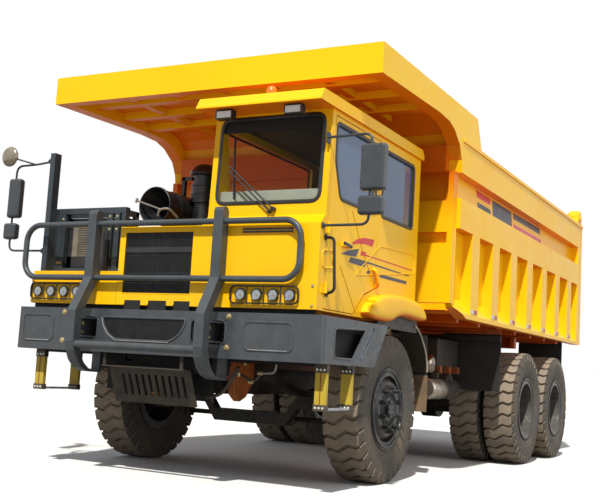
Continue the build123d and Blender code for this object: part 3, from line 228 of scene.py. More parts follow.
def loop(corners, bend, section, steps=5):
    """Section carried round a closed path whose corners are arcs."""
    corners = [np.asarray(c, float) for c in corners]
    path = []
    for before, corner, after in zip(corners[-1:] + corners[:-1], corners, corners[1:] + corners[:1]):
        a, b = before - corner, after - corner
        reach = min(bend, np.linalg.norm(a) * 0.49, np.linalg.norm(b) * 0.49)
        a, b = a / np.linalg.norm(a) * reach, b / np.linalg.norm(b) * reach
        t = np.linspace(0, 1, steps)[:, None]
        path.extend(corner + (1 - t) ** 2 * a + t**2 * b)
    path = np.array(path)
    ahead, behind = np.roll(path, -1, 0), np.roll(path, 1, 0)
    tangent = ahead - behind
    tangent /= np.linalg.norm(tangent, axis=1)[:, None]
    facing = np.cross(corners[1] - corners[0], corners[2] - corners[1])
    facing /= np.linalg.norm(facing)
    sides = np.cross(tangent, facing)
    section = np.asarray(section, float)
    points = (
        path[:, None]
        + section[None, :, 0, None] * sides[:, None]
        + section[None, :, 1, None] * facing
    )
    return surface(points, wrap_rows=True, wrap_columns=True)


def oval(width, height, steps=10):
    """Points round an oval section."""
    turn = np.linspace(0, 2 * pi, steps, endpoint=False)
    return np.stack([width / 2 * np.cos(turn), height / 2 * np.sin(turn)], 1)


def inside(outline, x, z):
    """Whether points lie inside a flat outline."""
    outline = np.asarray(outline, float)
    within = np.zeros(np.shape(x), bool)
    for (x0, z0), (x1, z1) in zip(outline, np.roll(outline, -1, 0)):
        if z0 != z1:
            crosses = (z0 > z) != (z1 > z)
            within ^= crosses & (x < (x1 - x0) * (z - z0) / (z1 - z0) + x0)
    return within


def honeycomb(outline, y, pitch, wall, thickness):
    """Six-sided rings in staggered rows, kept where their centres lie inside an (X, Z) outline."""
    outline = np.asarray(outline, float)
    low, high = outline.min(0), outline.max(0)
    row_pitch = pitch * 3**0.5 / 2
    rows = np.arange(int((high[1] - low[1]) / row_pitch) + 1)
    columns = np.arange(int((high[0] - low[0]) / pitch) + 2)
    row, column = np.meshgrid(rows, columns, indexing="ij")
    x = low[0] + (column + 0.5 * (row % 2)) * pitch
    z = low[1] + (row + 0.5) * row_pitch
    kept = inside(outline, x, z)
    radius = pitch / 3**0.5
    profile = ((0, radius), (0, radius - wall), (thickness, radius - wall * 0.6), (thickness, radius))
    cell = lathe(profile, (0, 0, 0), (0, 1, 0), 6, closed=True)
    offsets = np.stack([x[kept], np.full(kept.sum(), y), z[kept]], 1)
    return copies(cell, offsets)


def dome(place, axis, radius, height, steps=20, rings=5, rim=0.0):
    """Rounded cap on a rim, flat behind."""
    bulge = [(rim + height * sin(a), radius * cos(a)) for a in np.linspace(0, pi / 2 * 0.96, rings)]
    return lathe([(0, radius)] + bulge, place, axis, steps)


def bolt(place, axis, radius=0.011, height=0.009):
    """Washer with a six-sided head on it."""
    place, axis = np.asarray(place, float), np.asarray(axis, float)
    washer = lathe(((0, radius * 1.5), (height * 0.25, radius * 1.5)), place, axis, 14)
    head = lathe(
        ((height * 0.2, radius), (height * 0.85, radius), (height, radius * 0.8)), place, axis, 6
    )
    return [washer, head]


def copies(part, offsets):
    """The same part at each offset, as one."""
    points, faces = part
    offsets = np.asarray(offsets, float)
    many = (points[None] + offsets[:, None]).reshape(-1, 3)
    shift = (np.arange(len(offsets)) * len(points))[:, None, None]
    return many, [(f[None] + shift).reshape(-1, f.shape[1]) for f in faces]


def mirrored(part):
    """The part's other-hand copy across the truck's middle plane."""
    points, faces = part
    return points * (-1, 1, 1), [f[:, ::-1] for f in faces]


def both_sides(*parts):
    """Each part and its other-hand copy."""
    return [copy for part in parts for copy in (part, mirrored(part))]


def piece(
    name, parts, finish, body="chassis", replaces=(), smooth=35, bevel=0.0, segments=2
):
    """One named mesh of the given parts, riding on a body, with the finish of the given name."""
    points, loops, sizes, start = [], [], [], 0
    for part_points, part_faces in parts:
        points.append(part_points)
        for faces in part_faces:
            loops.append((np.asarray(faces) + start).ravel())
            sizes.append(np.full(len(faces), faces.shape[1]))
        start += len(part_points)
    points, loops, sizes = np.concatenate(points), np.concatenate(loops), np.concatenate(sizes)
    mesh = bpy.data.meshes.new(name)
    mesh.vertices.add(len(points))
    mesh.vertices.foreach_set("co", points.astype(np.float32).ravel())
    mesh.loops.add(len(loops))
    mesh.loops.foreach_set("vertex_index", loops.astype(np.int32))
    mesh.polygons.add(len(sizes))
    starts = np.concatenate([[0], np.cumsum(sizes)[:-1]])
    mesh.polygons.foreach_set("loop_start", starts.astype(np.int32))
    mesh.polygons.foreach_set("use_smooth", np.full(len(sizes), smooth > 0))
    mesh.update(calc_edges=True)
    mesh.validate()
    if smooth:
        mesh.set_sharp_from_angle(angle=radians(smooth))
    thing = bpy.data.objects.new(name, mesh)
    bpy.context.scene.collection.objects.link(thing)
    mesh.materials.append(finishes[finish])
    if bevel:
        edge = thing.modifiers.new("edge", "BEVEL")
        edge.width, edge.segments, edge.limit_method = bevel, segments, "ANGLE"
        edge.angle_limit = radians(40)
        edge.harden_normals = True
    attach(thing, body)
    if replaces:
        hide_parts(*replaces)
    return thing


# Finishes


def srgb(red, green, blue):
    """Colour as seen on a screen, 0 to 255, in linear light."""
    values = np.array([red, green, blue]) / 255
    linear = np.where(values <= 0.04045, values / 12.92, ((values + 0.055) / 1.055) ** 2.4)
    return (*linear.tolist(), 1)


class Finish:
    """A material being put together node by node."""

    def __init__(self, name, roughness=0.5, metallic=0.0):
        self.material = bpy.data.materials.new(name)
        self.material.use_nodes = True
        self.nodes = self.material.node_tree.nodes
        self.links = self.material.node_tree.links
        self.shader = self.nodes["Principled BSDF"]
        self.shader.inputs["Roughness"].default_value = roughness
        self.shader.inputs["Metallic"].default_value = metallic
        self.place = self.nodes.new("ShaderNodeTexCoord").outputs["Object"]

    def noise(self, scale, detail=4, roughness=0.55, stretch=(1, 1, 1)):
        """Cloudy pattern, 0 to 1, in the truck's own coordinates."""
        mapping = self.nodes.new("ShaderNodeMapping")
        mapping.inputs["Scale"].default_value = stretch
        self.links.new(self.place, mapping.inputs["Vector"])
        texture = self.nodes.new("ShaderNodeTexNoise")
        texture.inputs["Scale"].default_value = scale
        texture.inputs["Detail"].default_value = detail
        texture.inputs["Roughness"].default_value = roughness
        self.links.new(mapping.outputs["Vector"], texture.inputs["Vector"])
        return texture.outputs["Fac"]

    def ramp(self, value, low, high, start=0.0, end=1.0):
        """Value stretched from (low, high) to (start, end), with flat ends."""
        node = self.nodes.new("ShaderNodeMapRange")
        node.inputs["From Min"].default_value = low
        node.inputs["From Max"].default_value = high
        node.inputs["To Min"].default_value = start
        node.inputs["To Max"].default_value = end
        self.links.new(value, node.inputs["Value"])
        return node.outputs["Result"]

    def along(self, axis):
        """Coordinate along X, Y or Z, in metres."""
        node = self.nodes.new("ShaderNodeSeparateXYZ")
        self.links.new(self.place, node.inputs[0])
        return node.outputs[axis]

    def facing_up(self):
        """How far the surface faces upwards: 1 for a top, -1 for an underside."""
        geometry = self.nodes.new("ShaderNodeNewGeometry")
        split = self.nodes.new("ShaderNodeSeparateXYZ")
        self.links.new(geometry.outputs["Normal"], split.inputs[0])
        return split.outputs["Z"]

    def maths(self, operation, first, second):
        """Two values put together."""
        node = self.nodes.new("ShaderNodeMath")
        node.operation = operation
        for socket, value in zip(node.inputs, (first, second)):
            if isinstance(value, (int, float)):
                socket.default_value = value
            else:
                self.links.new(value, socket)
        return node.outputs[0]

    def mix(self, factor, first, second):
        """Colour between two colours."""
        node = self.nodes.new("ShaderNodeMix")
        node.data_type = "RGBA"
        self.links.new(factor, node.inputs["Factor"])
        for socket, value in ((node.inputs[6], first), (node.inputs[7], second)):
            if isinstance(value, tuple):
                socket.default_value = value
            else:
                self.links.new(value, socket)
        return node.outputs[2]

    def colour(self, value):
        """Base colour of the shader."""
        if isinstance(value, tuple):
            self.shader.inputs["Base Color"].default_value = value
        else:
            self.links.new(value, self.shader.inputs["Base Color"])

    def roughness(self, value):
        """Roughness that differs over the surface."""
        self.links.new(value, self.shader.inputs["Roughness"])

    def bump(self, height, strength, distance):
        """Fine relief."""
        node = self.nodes.new("ShaderNodeBump")
        node.inputs["Strength"].default_value = strength
        node.inputs["Distance"].default_value = distance
        self.links.new(height, node.inputs["Height"])
        self.links.new(node.outputs["Normal"], self.shader.inputs["Normal"])


dust_brown = srgb(150, 128, 98)


def dusty(finish, base, low, high, most, scale=3.0):
    """A base colour with dust that thins out from low to high above the ground, in patches."""
    height = finish.ramp(finish.along("Z"), low, high, most, 0.02)
    patches = finish.ramp(finish.noise(scale, 6, 0.65), 0.35, 0.7)
    return finish.mix(finish.maths("MULTIPLY", height, patches), base, dust_brown)


def paint(name, colour, shade, roughness=0.33, dust=0.2, dust_top=2.2, under=None, foot=None):
    """Sprayed enamel with slow drifts of tone and low dust, and painted shade: deeper orange on undersides, below
    the height foot and high up between the heights in under.
    """
    finish = Finish(name, roughness)
    tone = finish.mix(finish.ramp(finish.noise(1.3, 3), 0.3, 0.75), colour, shade)
    # Painted shade under the canopy: deeper orange from the first height in under upwards, fading out by the
    # second.
    if under:
        tone = finish.mix(finish.ramp(finish.along("Z"), *under), srgb(216, 104, 4), tone)
    # Painted shade: deeper orange below the height foot.
    if foot:
        tone = finish.mix(finish.ramp(finish.along("Z"), foot, foot + 0.01), srgb(188, 78, 4), tone)
    # Painted shade: deeper orange on faces that turn downwards.
    tone = finish.mix(finish.ramp(finish.facing_up(), -0.55, -0.2), srgb(236, 124, 4), tone)
    finish.colour(dusty(finish, tone, 0.6, dust_top, dust))
    finish.roughness(finish.ramp(finish.noise(6, 5), 0.25, 0.8, roughness - 0.06, roughness + 0.14))
    finish.bump(finish.noise(260, 2), 0.12, 0.002)
    finish.shader.inputs["Specular IOR Level"].default_value = 0.25
    finish.shader.inputs["Coat Weight"].default_value = 0.06
    finish.shader.inputs["Coat Roughness"].default_value = 0.12
    return finish.material


def chassis_paint(name, colour, shade):
    """Frame enamel with painted shade: nearly black towards the truck's front end under the cab, a little darker
    further back.
    """
    finish = Finish(name, 0.5)
    tone = finish.mix(finish.ramp(finish.noise(3, 4), 0.3, 0.75), colour, shade)
    # Painted shade under the cab: nearly black at the front, a quarter of the way to black further back.
    film = finish.ramp(finish.along("Y"), aft(-0.3), aft(0.6), 0.94, 0.25)
    tone = finish.mix(film, tone, srgb(26, 23, 20))
    finish.colour(dusty(finish, tone, 0.4, 1.6, 0.3))
    finish.roughness(finish.ramp(finish.noise(12, 5), 0.3, 0.75, 0.42, 0.7))
    return finish.material


def steel(name, colour, shade, roughness=0.45, metallic=0.0, dust=0.5, dust_top=1.6):
    """Painted or bare plate: mottled tone, dust in patches, a fine grain."""
    finish = Finish(name, roughness, metallic)
    tone = finish.mix(finish.ramp(finish.noise(9, 5), 0.35, 0.7), colour, shade)
    finish.colour(dusty(finish, tone, 0.2, dust_top, dust, 5.0))
    finish.roughness(finish.ramp(finish.noise(22, 6), 0.3, 0.75, roughness - 0.1, roughness + 0.18))
    finish.bump(finish.noise(160, 4), 0.18, 0.002)
    return finish.material


def tread_rubber(name, colour, worn):
    """Dusty tyre rubber: pale dust on the tread and in streaks, darker walls, fine pitting."""
    finish = Finish(name, 0.85)
    wall = finish.mix(finish.ramp(finish.noise(14, 7, 0.7), 0.38, 0.66), colour, worn)
    tread = finish.mix(
        finish.ramp(finish.noise(11, 7, 0.7), 0.35, 0.7), srgb(128, 116, 102), srgb(152, 138, 121)
    )
    geometry = finish.nodes.new("ShaderNodeNewGeometry")
    split = finish.nodes.new("ShaderNodeSeparateXYZ")
    finish.links.new(geometry.outputs["Normal"], split.inputs[0])
    sideways = finish.maths("ABSOLUTE", split.outputs["X"], 0.0)
    tone = finish.mix(finish.ramp(sideways, 0.25, 0.75), tread, wall)
    finish.colour(finish.mix(finish.ramp(finish.noise(3.2, 4), 0.45, 0.78, 0, 0.3), tone, dust_brown))
    finish.roughness(finish.ramp(finish.noise(30, 4), 0.3, 0.8, 0.72, 0.95))
    finish.bump(finish.noise(220, 6, 0.7), 0.35, 0.003)
    return finish.material


def cab_panes(name):
    """Panes of the cab: nearly clear in front and on the right; on the left side wall a painted reflection of the
    sky makes them blue-grey and less clear.
    """
    finish = Finish(name, 0.04)
    sideways = finish.ramp(finish.along("X"), 1.405, 1.425)
    finish.colour(finish.mix(sideways, srgb(40, 42, 42), srgb(88, 112, 148)))
    finish.links.new(finish.ramp(sideways, 0.0, 1.0, 0.07, 0.82), finish.shader.inputs["Alpha"])
    return finish.material


def glazing(name, tint, alpha):
    """Tinted pane that lets most light by, with a faint film of dust."""
    finish = Finish(name, 0.05)
    film = finish.ramp(finish.noise(4, 5), 0.45, 0.9, 0, 0.25)
    finish.colour(finish.mix(film, tint, srgb(150, 148, 142)))
    finish.shader.inputs["Alpha"].default_value = alpha
    finish.roughness(finish.ramp(finish.noise(7, 5), 0.4, 0.9, 0.03, 0.12))
    return finish.material


def moulded(name, colour, shade, roughness=0.55, grain=420):
    """Moulded plastic with a pebbled grain."""
    finish = Finish(name, roughness)
    finish.colour(finish.mix(finish.ramp(finish.noise(5, 4), 0.3, 0.75), colour, shade))
    finish.bump(finish.noise(grain, 3), 0.3, 0.001)
    return finish.material


palette = (
    (paint, "body_yellow", (254, 200, 4), (253, 190, 4)),
    (paint, "canopy_yellow", (254, 204, 5), (253, 196, 4)),
    (chassis_paint, "frame_orange", (178, 84, 12), (146, 66, 10)),
    (steel, "guard_grey", (66, 73, 79), (56, 62, 67), 0.38, 0.0, 0.15),
    (steel, "black_steel", (36, 37, 38), (24, 25, 26), 0.5),
    (steel, "cast_grey", (92, 84, 76), (66, 60, 55), 0.65, 0.0, 0.7),
    (tread_rubber, "tyre_rubber", (70, 66, 61), (86, 80, 73)),
    (moulded, "flap_rubber", (24, 24, 23), (38, 36, 33), 0.8, 160),
    (steel, "rim_dark", (50, 54, 59), (40, 43, 47), 0.36, 0.15, 0.25),
    (steel, "rim_silver", (150, 148, 144), (122, 120, 117), 0.35, 0.45, 0.25),
    (steel, "rim_grey", (104, 103, 100), (84, 83, 80), 0.3, 0.35, 0.2),
    (moulded, "dash_plastic", (168, 176, 160), (150, 158, 144)),
    (moulded, "black_plastic", (34, 35, 37), (24, 25, 26), 0.42),
    (moulded, "seat_cloth", (132, 28, 22), (104, 20, 18), 0.9, 700),
    (paint, "step_yellow", (205, 178, 52), (176, 150, 44), 0.5, 0.4),
    (steel, "hoist_chrome", (200, 200, 202), (180, 180, 183), 0.18, 0.95, 0.1),
    (steel, "bumper_paint", (68, 74, 80), (58, 63, 68), 0.3, 0.0, 0.12),
    (steel, "zinc", (196, 176, 120), (160, 148, 118), 0.35, 0.6, 0.2),
    (steel, "mesh_black", (48, 50, 53), (34, 36, 38), 0.45, 0.2, 0.25),
    (moulded, "deep_black", (9, 9, 10), (14, 14, 14), 0.8),
    (steel, "mirror_bright", (232, 234, 236), (214, 216, 220), 0.12, 0.9, 0.0),
    (moulded, "lamp_white", (236, 236, 232), (214, 216, 214), 0.25, 90),
    (paint, "stripe_red", (214, 58, 62), (200, 50, 56), 0.35, 0.1),
    (paint, "stripe_pink", (224, 92, 118), (214, 84, 110), 0.35, 0.1),
    (paint, "stripe_grey", (72, 76, 88), (62, 66, 78), 0.35, 0.1),
    (paint, "reflector_red", (176, 34, 34), (150, 30, 30), 0.2, 0.1),
    (paint, "reflector_white", (214, 210, 202), (196, 192, 184), 0.2, 0.1),
    (moulded, "lining_grey", (58, 52, 50), (44, 40, 40), 0.8, 300),
    (paint, "paint_shade", (186, 104, 10), (170, 92, 8), 0.4, 0.2),
    (moulded, "amber_glow", (252, 132, 14), (246, 112, 8), 0.2, 60),
    (steel, "cooler_paint", (48, 58, 66), (38, 46, 53), 0.4, 0.0, 0.1),
    (steel, "core_tan", (132, 124, 112), (108, 100, 90), 0.6, 0.1, 0.3, 3.0),
    (steel, "intake_black", (20, 24, 29), (14, 17, 21), 0.35, 0.0, 0.05),
    (steel, "skid_brown", (46, 42, 37), (36, 33, 30), 0.6, 0.0, 0.25),
    (steel, "under_black", (30, 28, 26), (22, 21, 20), 0.6, 0.0, 0.2),
    (steel, "mirror_grey", (58, 64, 70), (50, 55, 61), 0.32, 0.0, 0.0),
    (steel, "chrome_soft", (170, 158, 140), (120, 110, 98), 0.12, 0.95, 0.0),
    (steel, "bowl_dark", (120, 122, 126), (80, 82, 86), 0.15, 0.8, 0.0),
    (steel, "sheen_grey", (112, 124, 142), (96, 106, 124), 0.25, 0.2, 0.05),
    (steel, "lip_grey", (150, 152, 154), (128, 130, 132), 0.3, 0.1, 0.05),
    (steel, "fender_olive", (48, 47, 38), (38, 38, 31), 0.5, 0.0, 0.25),
    (steel, "edge_steel", (188, 180, 160), (150, 142, 124), 0.45, 0.2, 0.3),
    (moulded, "flap_dust", (134, 110, 82), (96, 80, 62), 0.9, 60),
    (steel, "bolt_white", (236, 234, 226), (214, 210, 200), 0.35, 0.3, 0.0),
    (moulded, "seam_red", (150, 74, 26), (132, 60, 22), 0.6),
    (steel, "tread_plate", (176, 182, 188), (140, 146, 152), 0.4, 0.3, 0.1),
    (steel, "bottle_silver", (196, 188, 174), (168, 158, 142), 0.3, 0.6, 0.15),
    (steel, "hanger_orange", (164, 84, 18), (126, 62, 14), 0.55, 0.0, 0.3),
)
glazings = (
    ("clear_glass", (52, 58, 62), 0.22),
    ("lamp_glass", (225, 232, 238), 0.25),
    # The side pane's blue-grey is a painted reflection of the sky.
    ("side_glass", (88, 112, 148), 0.82),
)
finishes = {}
for make, name, colour, shade, *more in palette:
    finishes[name] = make(name, srgb(*colour), srgb(*shade), *more)
for name, tint, alpha in glazings:
    finishes[name] = glazing(name, srgb(*tint), alpha)
# Headboard paint with painted shade: deeper orange high up under the canopy and below its foot.
finishes["head_yellow"] = paint(
    "head_yellow", srgb(253, 196, 4), srgb(252, 188, 4), under=(3.05, 2.55), foot=1.722
)
finishes["cab_pane"] = cab_panes("cab_pane")
# Painted shade: an orange copy of the body paint for the body's floor and the beams beneath it, deeper orange
# again below its foot.
finishes["under_orange"] = paint(
    "under_orange", srgb(250, 152, 6), srgb(244, 140, 6), 0.4, 0.15, foot=1.745
)

# Finish of a slot where it differs from the slot's name
slot_finish = {"grille_black": "black_steel", "lamp_lens": "lamp_glass"}
own_finish = {
    "bed_canopy": "canopy_yellow",
    "bed_headboard": "head_yellow",
    "leaf_springs": "under_black",
    "track_rod": "under_black",
    "bed_floor": "under_orange",
    "rims_mid_left": "rim_grey",
    "rims_mid_right": "rim_grey",
    "rims_rear_left": "rim_grey",
    "rims_rear_right": "rim_grey",
    "door_glass": "side_glass",
    "cab_glass": "cab_pane",
    "front_bumper": "bumper_paint",
    "skid_plate": "skid_brown",
    "axle_housings": "under_black",
    "driveline": "under_black",
    "engine_block": "under_black",
}
slot_of_node = {entry["node"]: entry["material_slot"] for entry in frame["record"]["subparts"]}
for node_name, node in frame["nodes"].items():
    node.data.materials.clear()
    slot = slot_of_node[node_name]
    finish_name = own_finish.get(node_name) or slot_finish.get(slot, slot)
    node.data.materials.append(finishes[finish_name])

# Tyres and wheels
tyre_radius = 0.675
lug_count = 32
groove_depth = 0.030
# Section of one half: outward distance, radius, share of the groove's depth
half_section = (
    (0.1200, 0.3190, 0), (0.1490, 0.3190, 0), (0.1490, 0.3745, 0), (0.1590, 0.3800, 0),
    (0.1665, 0.3920, 0), (0.1712, 0.4080, 0), (0.1745, 0.4230, 0), (0.1772, 0.4250, 0),
    (0.1776, 0.4290, 0), (0.1758, 0.4320, 0), (0.1790, 0.4480, 0), (0.1810, 0.4640, 0),
    (0.1842, 0.4670, 0), (0.1846, 0.4725, 0), (0.1824, 0.4760, 0), (0.1850, 0.5000, 0),
    (0.1872, 0.5300, 0), (0.1870, 0.5550, 0), (0.1850, 0.5780, 0), (0.1868, 0.5830, 0.35),
    (0.1854, 0.5960, 0.8), (0.1824, 0.6200, 1), (0.1772, 0.6480, 1), (0.1730, 0.6625, 1),
    (0.1685, 0.6690, 1), (0.1600, 0.6712, 1), (0.1250, 0.6728, 1), (0.0900, 0.6740, 1),
    (0.0560, 0.6748, 1), (0.0300, 0.6750, 1),
)
# Across the tread, outward distance over half the tread: how far the grooves run ahead, in lug pitches
half_tread = 0.16
groove_line = ((-1.12, 0.26), (-0.87, 0.0), (-0.35, 0.18), (0.35, -0.36), (0.87, -0.18), (1.12, -0.44))
# Round one pitch: fraction of the pitch and share of the depth there
lug_steps = (
    (0.0, 0.0), (0.15, 0.0), (0.30, 0.0), (0.45, 0.0), (0.60, 0.0), (0.735, 0.0), (0.75, 0.15),
    (0.77, 1.0), (0.87, 1.0), (0.975, 1.0),
)


def tyre(wheel_x, axle_y, side):
    """Section swung round the axle and sunk along zigzag grooves, whose depth fades down the shoulders."""
    right = np.array(half_section)
    left = right[::-1] * (-1, 1, 1)
    middle = np.array([[0.0, tyre_radius, 1.0]])
    section = np.concatenate([right, middle, left])
    along = np.gradient(section[:, :2], axis=0)
    inward = np.stack([-along[:, 1], along[:, 0]], 1) / np.linalg.norm(along, axis=1)[:, None]
    inward[np.sum(inward * (section[:, :2] - (0, 0.5)), 1) > 0] *= -1
    steps = np.array(lug_steps)
    fraction = (np.arange(lug_count)[:, None] + steps[:, 0]).reshape(-1)
    depth = np.tile(steps[:, 1], lug_count)
    line = np.array(groove_line)
    shift = np.interp(section[:, 0] / half_tread, line[:, 0], line[:, 1])
    angle = 2 * pi * (fraction[None, :] + shift[:, None]) / lug_count
    sink = groove_depth * section[:, 2, None] * depth[None, :]
    outward = section[:, 0, None] + inward[:, 0, None] * sink
    radius = section[:, 1, None] + inward[:, 1, None] * sink
    points = np.stack(
        [
            side * (wheel_x + outward),
            axle_y + radius * np.cos(angle) * side,
            axle_z + radius * np.sin(angle),
        ],
        2,
    )
    return surface(points, wrap_rows=True, wrap_columns=True)


def disc_ring(place, axis, radius, count, inner, height, start=0.0, steps=10):
    """Small discs in a ring round an axis, as heads, nuts or hole floors."""
    axis = np.asarray(axis, float)
    side = np.cross(axis, (0, 0, 1) if abs(axis[2]) < 0.9 else (1, 0, 0))
    up = np.cross(axis, side)
    turn = start + np.linspace(0, 2 * pi, count, endpoint=False)
    middles = [np.asarray(place) + radius * (cos(t) * side + sin(t) * up) for t in turn]
    return [rod(middle, middle + height * axis, inner, steps) for middle in middles]


def front_axle_point(side, outward):
    """Point on a front wheel's axle, this far outward of the tyre's middle."""
    return side * (front_wheel_x + outward), front_axle_y, axle_z


front_wheel_x = 1.272
rear_outer_x = 1.598
dual_gap = 0.425
lock_ring_out = 0.166
# Front wheel, outward of the tyre's middle: nuts, cap plugs, rim bead, hub and hand holes
nut_out, plug_out, bead_out, hub_out, hole_out = 0.218, 0.204, 0.164, 0.1752, 0.1405
nut_circle, nut_count = 0.2, 10
hole_circle, hole_count = 0.274, 10
for side_name, side in (("left", 1), ("right", -1)):
    outward = (side, 0, 0)
    front_body = f"wheel_front_{side_name}"
    piece(
        f"tread_front_{side_name}",
        [tyre(front_wheel_x, front_axle_y, side)],
        "tyre_rubber",
        front_body,
        [f"tyre_front_{side_name}"],
    )
    for axle_name in ("mid", "rear"):
        axle_y = joints[f"spin_{axle_name}_{side_name}"]["pos_m"][1]
        rear_body = f"wheels_{axle_name}_{side_name}"
        piece(
            f"tread_{axle_name}_{side_name}",
            [tyre(rear_outer_x, axle_y, side), tyre(rear_outer_x - dual_gap, axle_y, side)],
            "tyre_rubber",
            rear_body,
            [f"tyres_{axle_name}_{side_name}"],
        )
        place = (side * (rear_outer_x + lock_ring_out), axle_y, axle_z)
        ring = ((0, 0.332), (0, 0.372), (0.006, 0.374), (0.012, 0.368), (0.012, 0.352), (0.006, 0.338))
        valve = rod(
            (side * 1.60, axle_y, axle_z + 0.27), (side * 1.72, axle_y, axle_z + 0.285), 0.008, 8
        )
        piece(
            f"lock_ring_{axle_name}_{side_name}",
            [lathe(ring, place, outward, 96, closed=True), valve],
            "rim_dark",
            rear_body,
        )

    # Front disc wheel: sleeves on the nuts, plugs in the hub cap and a bead at the lock ring
    nuts = front_axle_point(side, nut_out)
    tips = disc_ring(nuts, outward, nut_circle, nut_count, 0.0125, 0.022, pi / 2)
    cap_bolts = disc_ring(front_axle_point(side, plug_out), outward, 0.056, 6, 0.007, 0.009)
    bead = ((0, 0.336), (0, 0.352), (0.008, 0.356), (0.013, 0.35), (0.011, 0.338))
    bead_place = front_axle_point(side, bead_out)
    # Painted shade: black discs in the hand holes and a black ring in the opening round the hub.
    hub_hole = ((0, 0.108), (0.0015, 0.108), (0.0015, 0.158), (0, 0.158))
    hand_holes = []
    for index in range(hole_count):
        turn = 2 * pi * (index + 0.5) / hole_count
        reach = hole_circle * cos(turn), hole_circle * sin(turn)
        start = (side * (front_wheel_x + hole_out), front_axle_y + reach[0], axle_z + reach[1])
        end = (start[0] + side * 0.005, start[1] + reach[0] * 0.03, start[2] + reach[1] * 0.03)
        hand_holes.append(rod(start, end, 0.017, 16))
    hub_place = front_axle_point(side, hub_out)
    piece(
        f"wheel_holes_{side_name}",
        [lathe(hub_hole, hub_place, outward, 48, closed=True)] + hand_holes,
        "deep_black",
        front_body,
    )
    hub_lip = ((0, 0.156), (0, 0.170), (0.006, 0.171), (0.010, 0.165), (0.006, 0.157))
    tips.append(lathe(hub_lip, hub_place, outward, 64, closed=True))
    piece(
        f"wheel_studs_{side_name}",
        tips + cap_bolts + [lathe(bead, bead_place, outward, 96, closed=True)],
        "rim_dark",
        front_body,
    )

# Front: bumper mesh, pressed panels, bolts, radiator face and lamps
bumper_y = aft(-1.54)
bumper_centre = -0.155
half_recess = ((0.28, 1.155), (0.37, 1.205), (0.425, 1.285), (0.44, 1.350))
recess = [(bumper_centre - x, z) for x, z in half_recess[::-1]]
recess += [(bumper_centre + x, z) for x, z in half_recess]
mesh_parts = [honeycomb(recess, bumper_y + 0.004, 0.0165, 0.0034, 0.007)]
piece("bumper_mesh", mesh_parts, "mesh_black", smooth=0)

pressed_panels = (
    ((0.858, 1.120), (1.300, 1.120), (1.300, 1.346), (0.850, 1.346)),
    ((-1.500, 1.120), (-1.150, 1.120), (-1.158, 1.352), (-1.508, 1.352)),
)
side_hole = ((-1.308, 1.095), (-0.956, 1.091), (-0.706, 1.353), (-1.308, 1.331))
bead = oval(0.02, 0.012)
pressings = [loop(front_view(panel, bumper_y - 0.002), 0.05, bead) for panel in pressed_panels]
pressings.append(loop(front_view(recess, bumper_y - 0.002), 0.045, oval(0.022, 0.014)))
for side in (-1, 1):
    inner, outer = sorted((bumper_centre + side * 0.49, bumper_centre + side * 0.828))
    frame_corners = ((inner, 1.151), (outer, 1.151), (outer, 1.351), (inner, 1.351))
    pressings.append(loop(front_view(frame_corners, bumper_y - 0.001), 0.05, oval(0.012, 0.008)))
    pressings.append(loop(on_side(side_hole, side * 1.553), 0.05, oval(0.018, 0.010)))
    pressings.append(pipe([(side * 1.552, -0.53, 1.375), (side * 1.552, -0.80, 1.10)], 0.01, 0.009))
for side in (-1, 1):
    pressings.append(bar((side * 1.5535, -1.49, 1.06), (side * 1.5535, -1.49, 1.405), 0.0035, 8))
# Painted highlights: light grey strips along the lower edges of the pressed panels, the recess and the side holes.
lower_highlights = []
for low, high in ((0.90, 1.26), (-1.46, -1.19)):
    lower_highlights.append(tube([(low, bumper_y - 0.007, 1.122), (high, bumper_y - 0.007, 1.122)], 0, 0.0045, 8))
lower_highlights.append(tube([(x, bumper_y - 0.009, z - 0.006) for x, z in recess[:4]], 0.03, 0.004, 8))
lower_highlights.append(tube([(x, bumper_y - 0.009, z - 0.006) for x, z in recess[3:5]], 0, 0.004, 8))
for side in (-1, 1):
    lower_highlights.append(handed(side, (1.50, -1.285, 1.094), (1.553, -0.975, 1.102)))
piece("bumper_lips", lower_highlights, "lip_grey")
# Painted sheen: a blue-grey band along the lower rear chamfer of the bumper's sides.
sheen = prism(
    side_view(((-0.60, 1.352), (-0.53, 1.352), (-0.755, 1.100), (-0.83, 1.100))), 1.5515, 1.5545, 0
)
piece("bumper_sheen", both_sides(sheen), "sheen_grey", bevel=0.001)
piece("bumper_pressings", pressings, "bumper_paint")

# Painted shade: black sheets in the bumper's openings, behind the recess, under the grille and under the bumper.
shade_sheets = []
for side in (-1, 1):
    shade_sheets.append(handed(side, (1.452, -1.36, 1.055), (1.46, -0.46, 1.405)))
    shade_sheets.append(handed(side, (0.50, -1.372, 1.02), (1.452, -1.366, 1.415)))
shade_sheets += [
    block((-0.66, -1.516, 1.12), (0.35, -1.510, 1.38)),
    block((-0.49, -1.44, 1.435), (0.30, -1.43, 1.53)),
    block((-1.47, -1.452, 1.40), (1.44, -1.444, 1.478)),
    block((-0.80, -1.15, 0.72), (0.34, -1.14, 1.06)),
    block((-0.80, -1.36, 0.905), (0.62, -1.35, 1.06)),
]
piece("dark_liners", shade_sheets, "deep_black")

fixings = []
for x, z in ((-1.03, 1.380), (-1.03, 1.128), (0.702, 1.383), (0.698, 1.131)):
    fixings += bolt((x, bumper_y, z), forward, 0.017, 0.014)
for x in (-0.748, 0.572):
    for z in (1.205, 1.285):
        fixings += bolt((x - 0.012, aft(-1.60), z), leftward, 0.014, 0.012)
for x in (0.72, 1.43, -0.90, -1.47):
    for z in (1.485, 1.645):
        fixings += bolt((x, aft(-1.501), z), forward, 0.009, 0.008)
piece("front_fixings", fixings, "zinc")

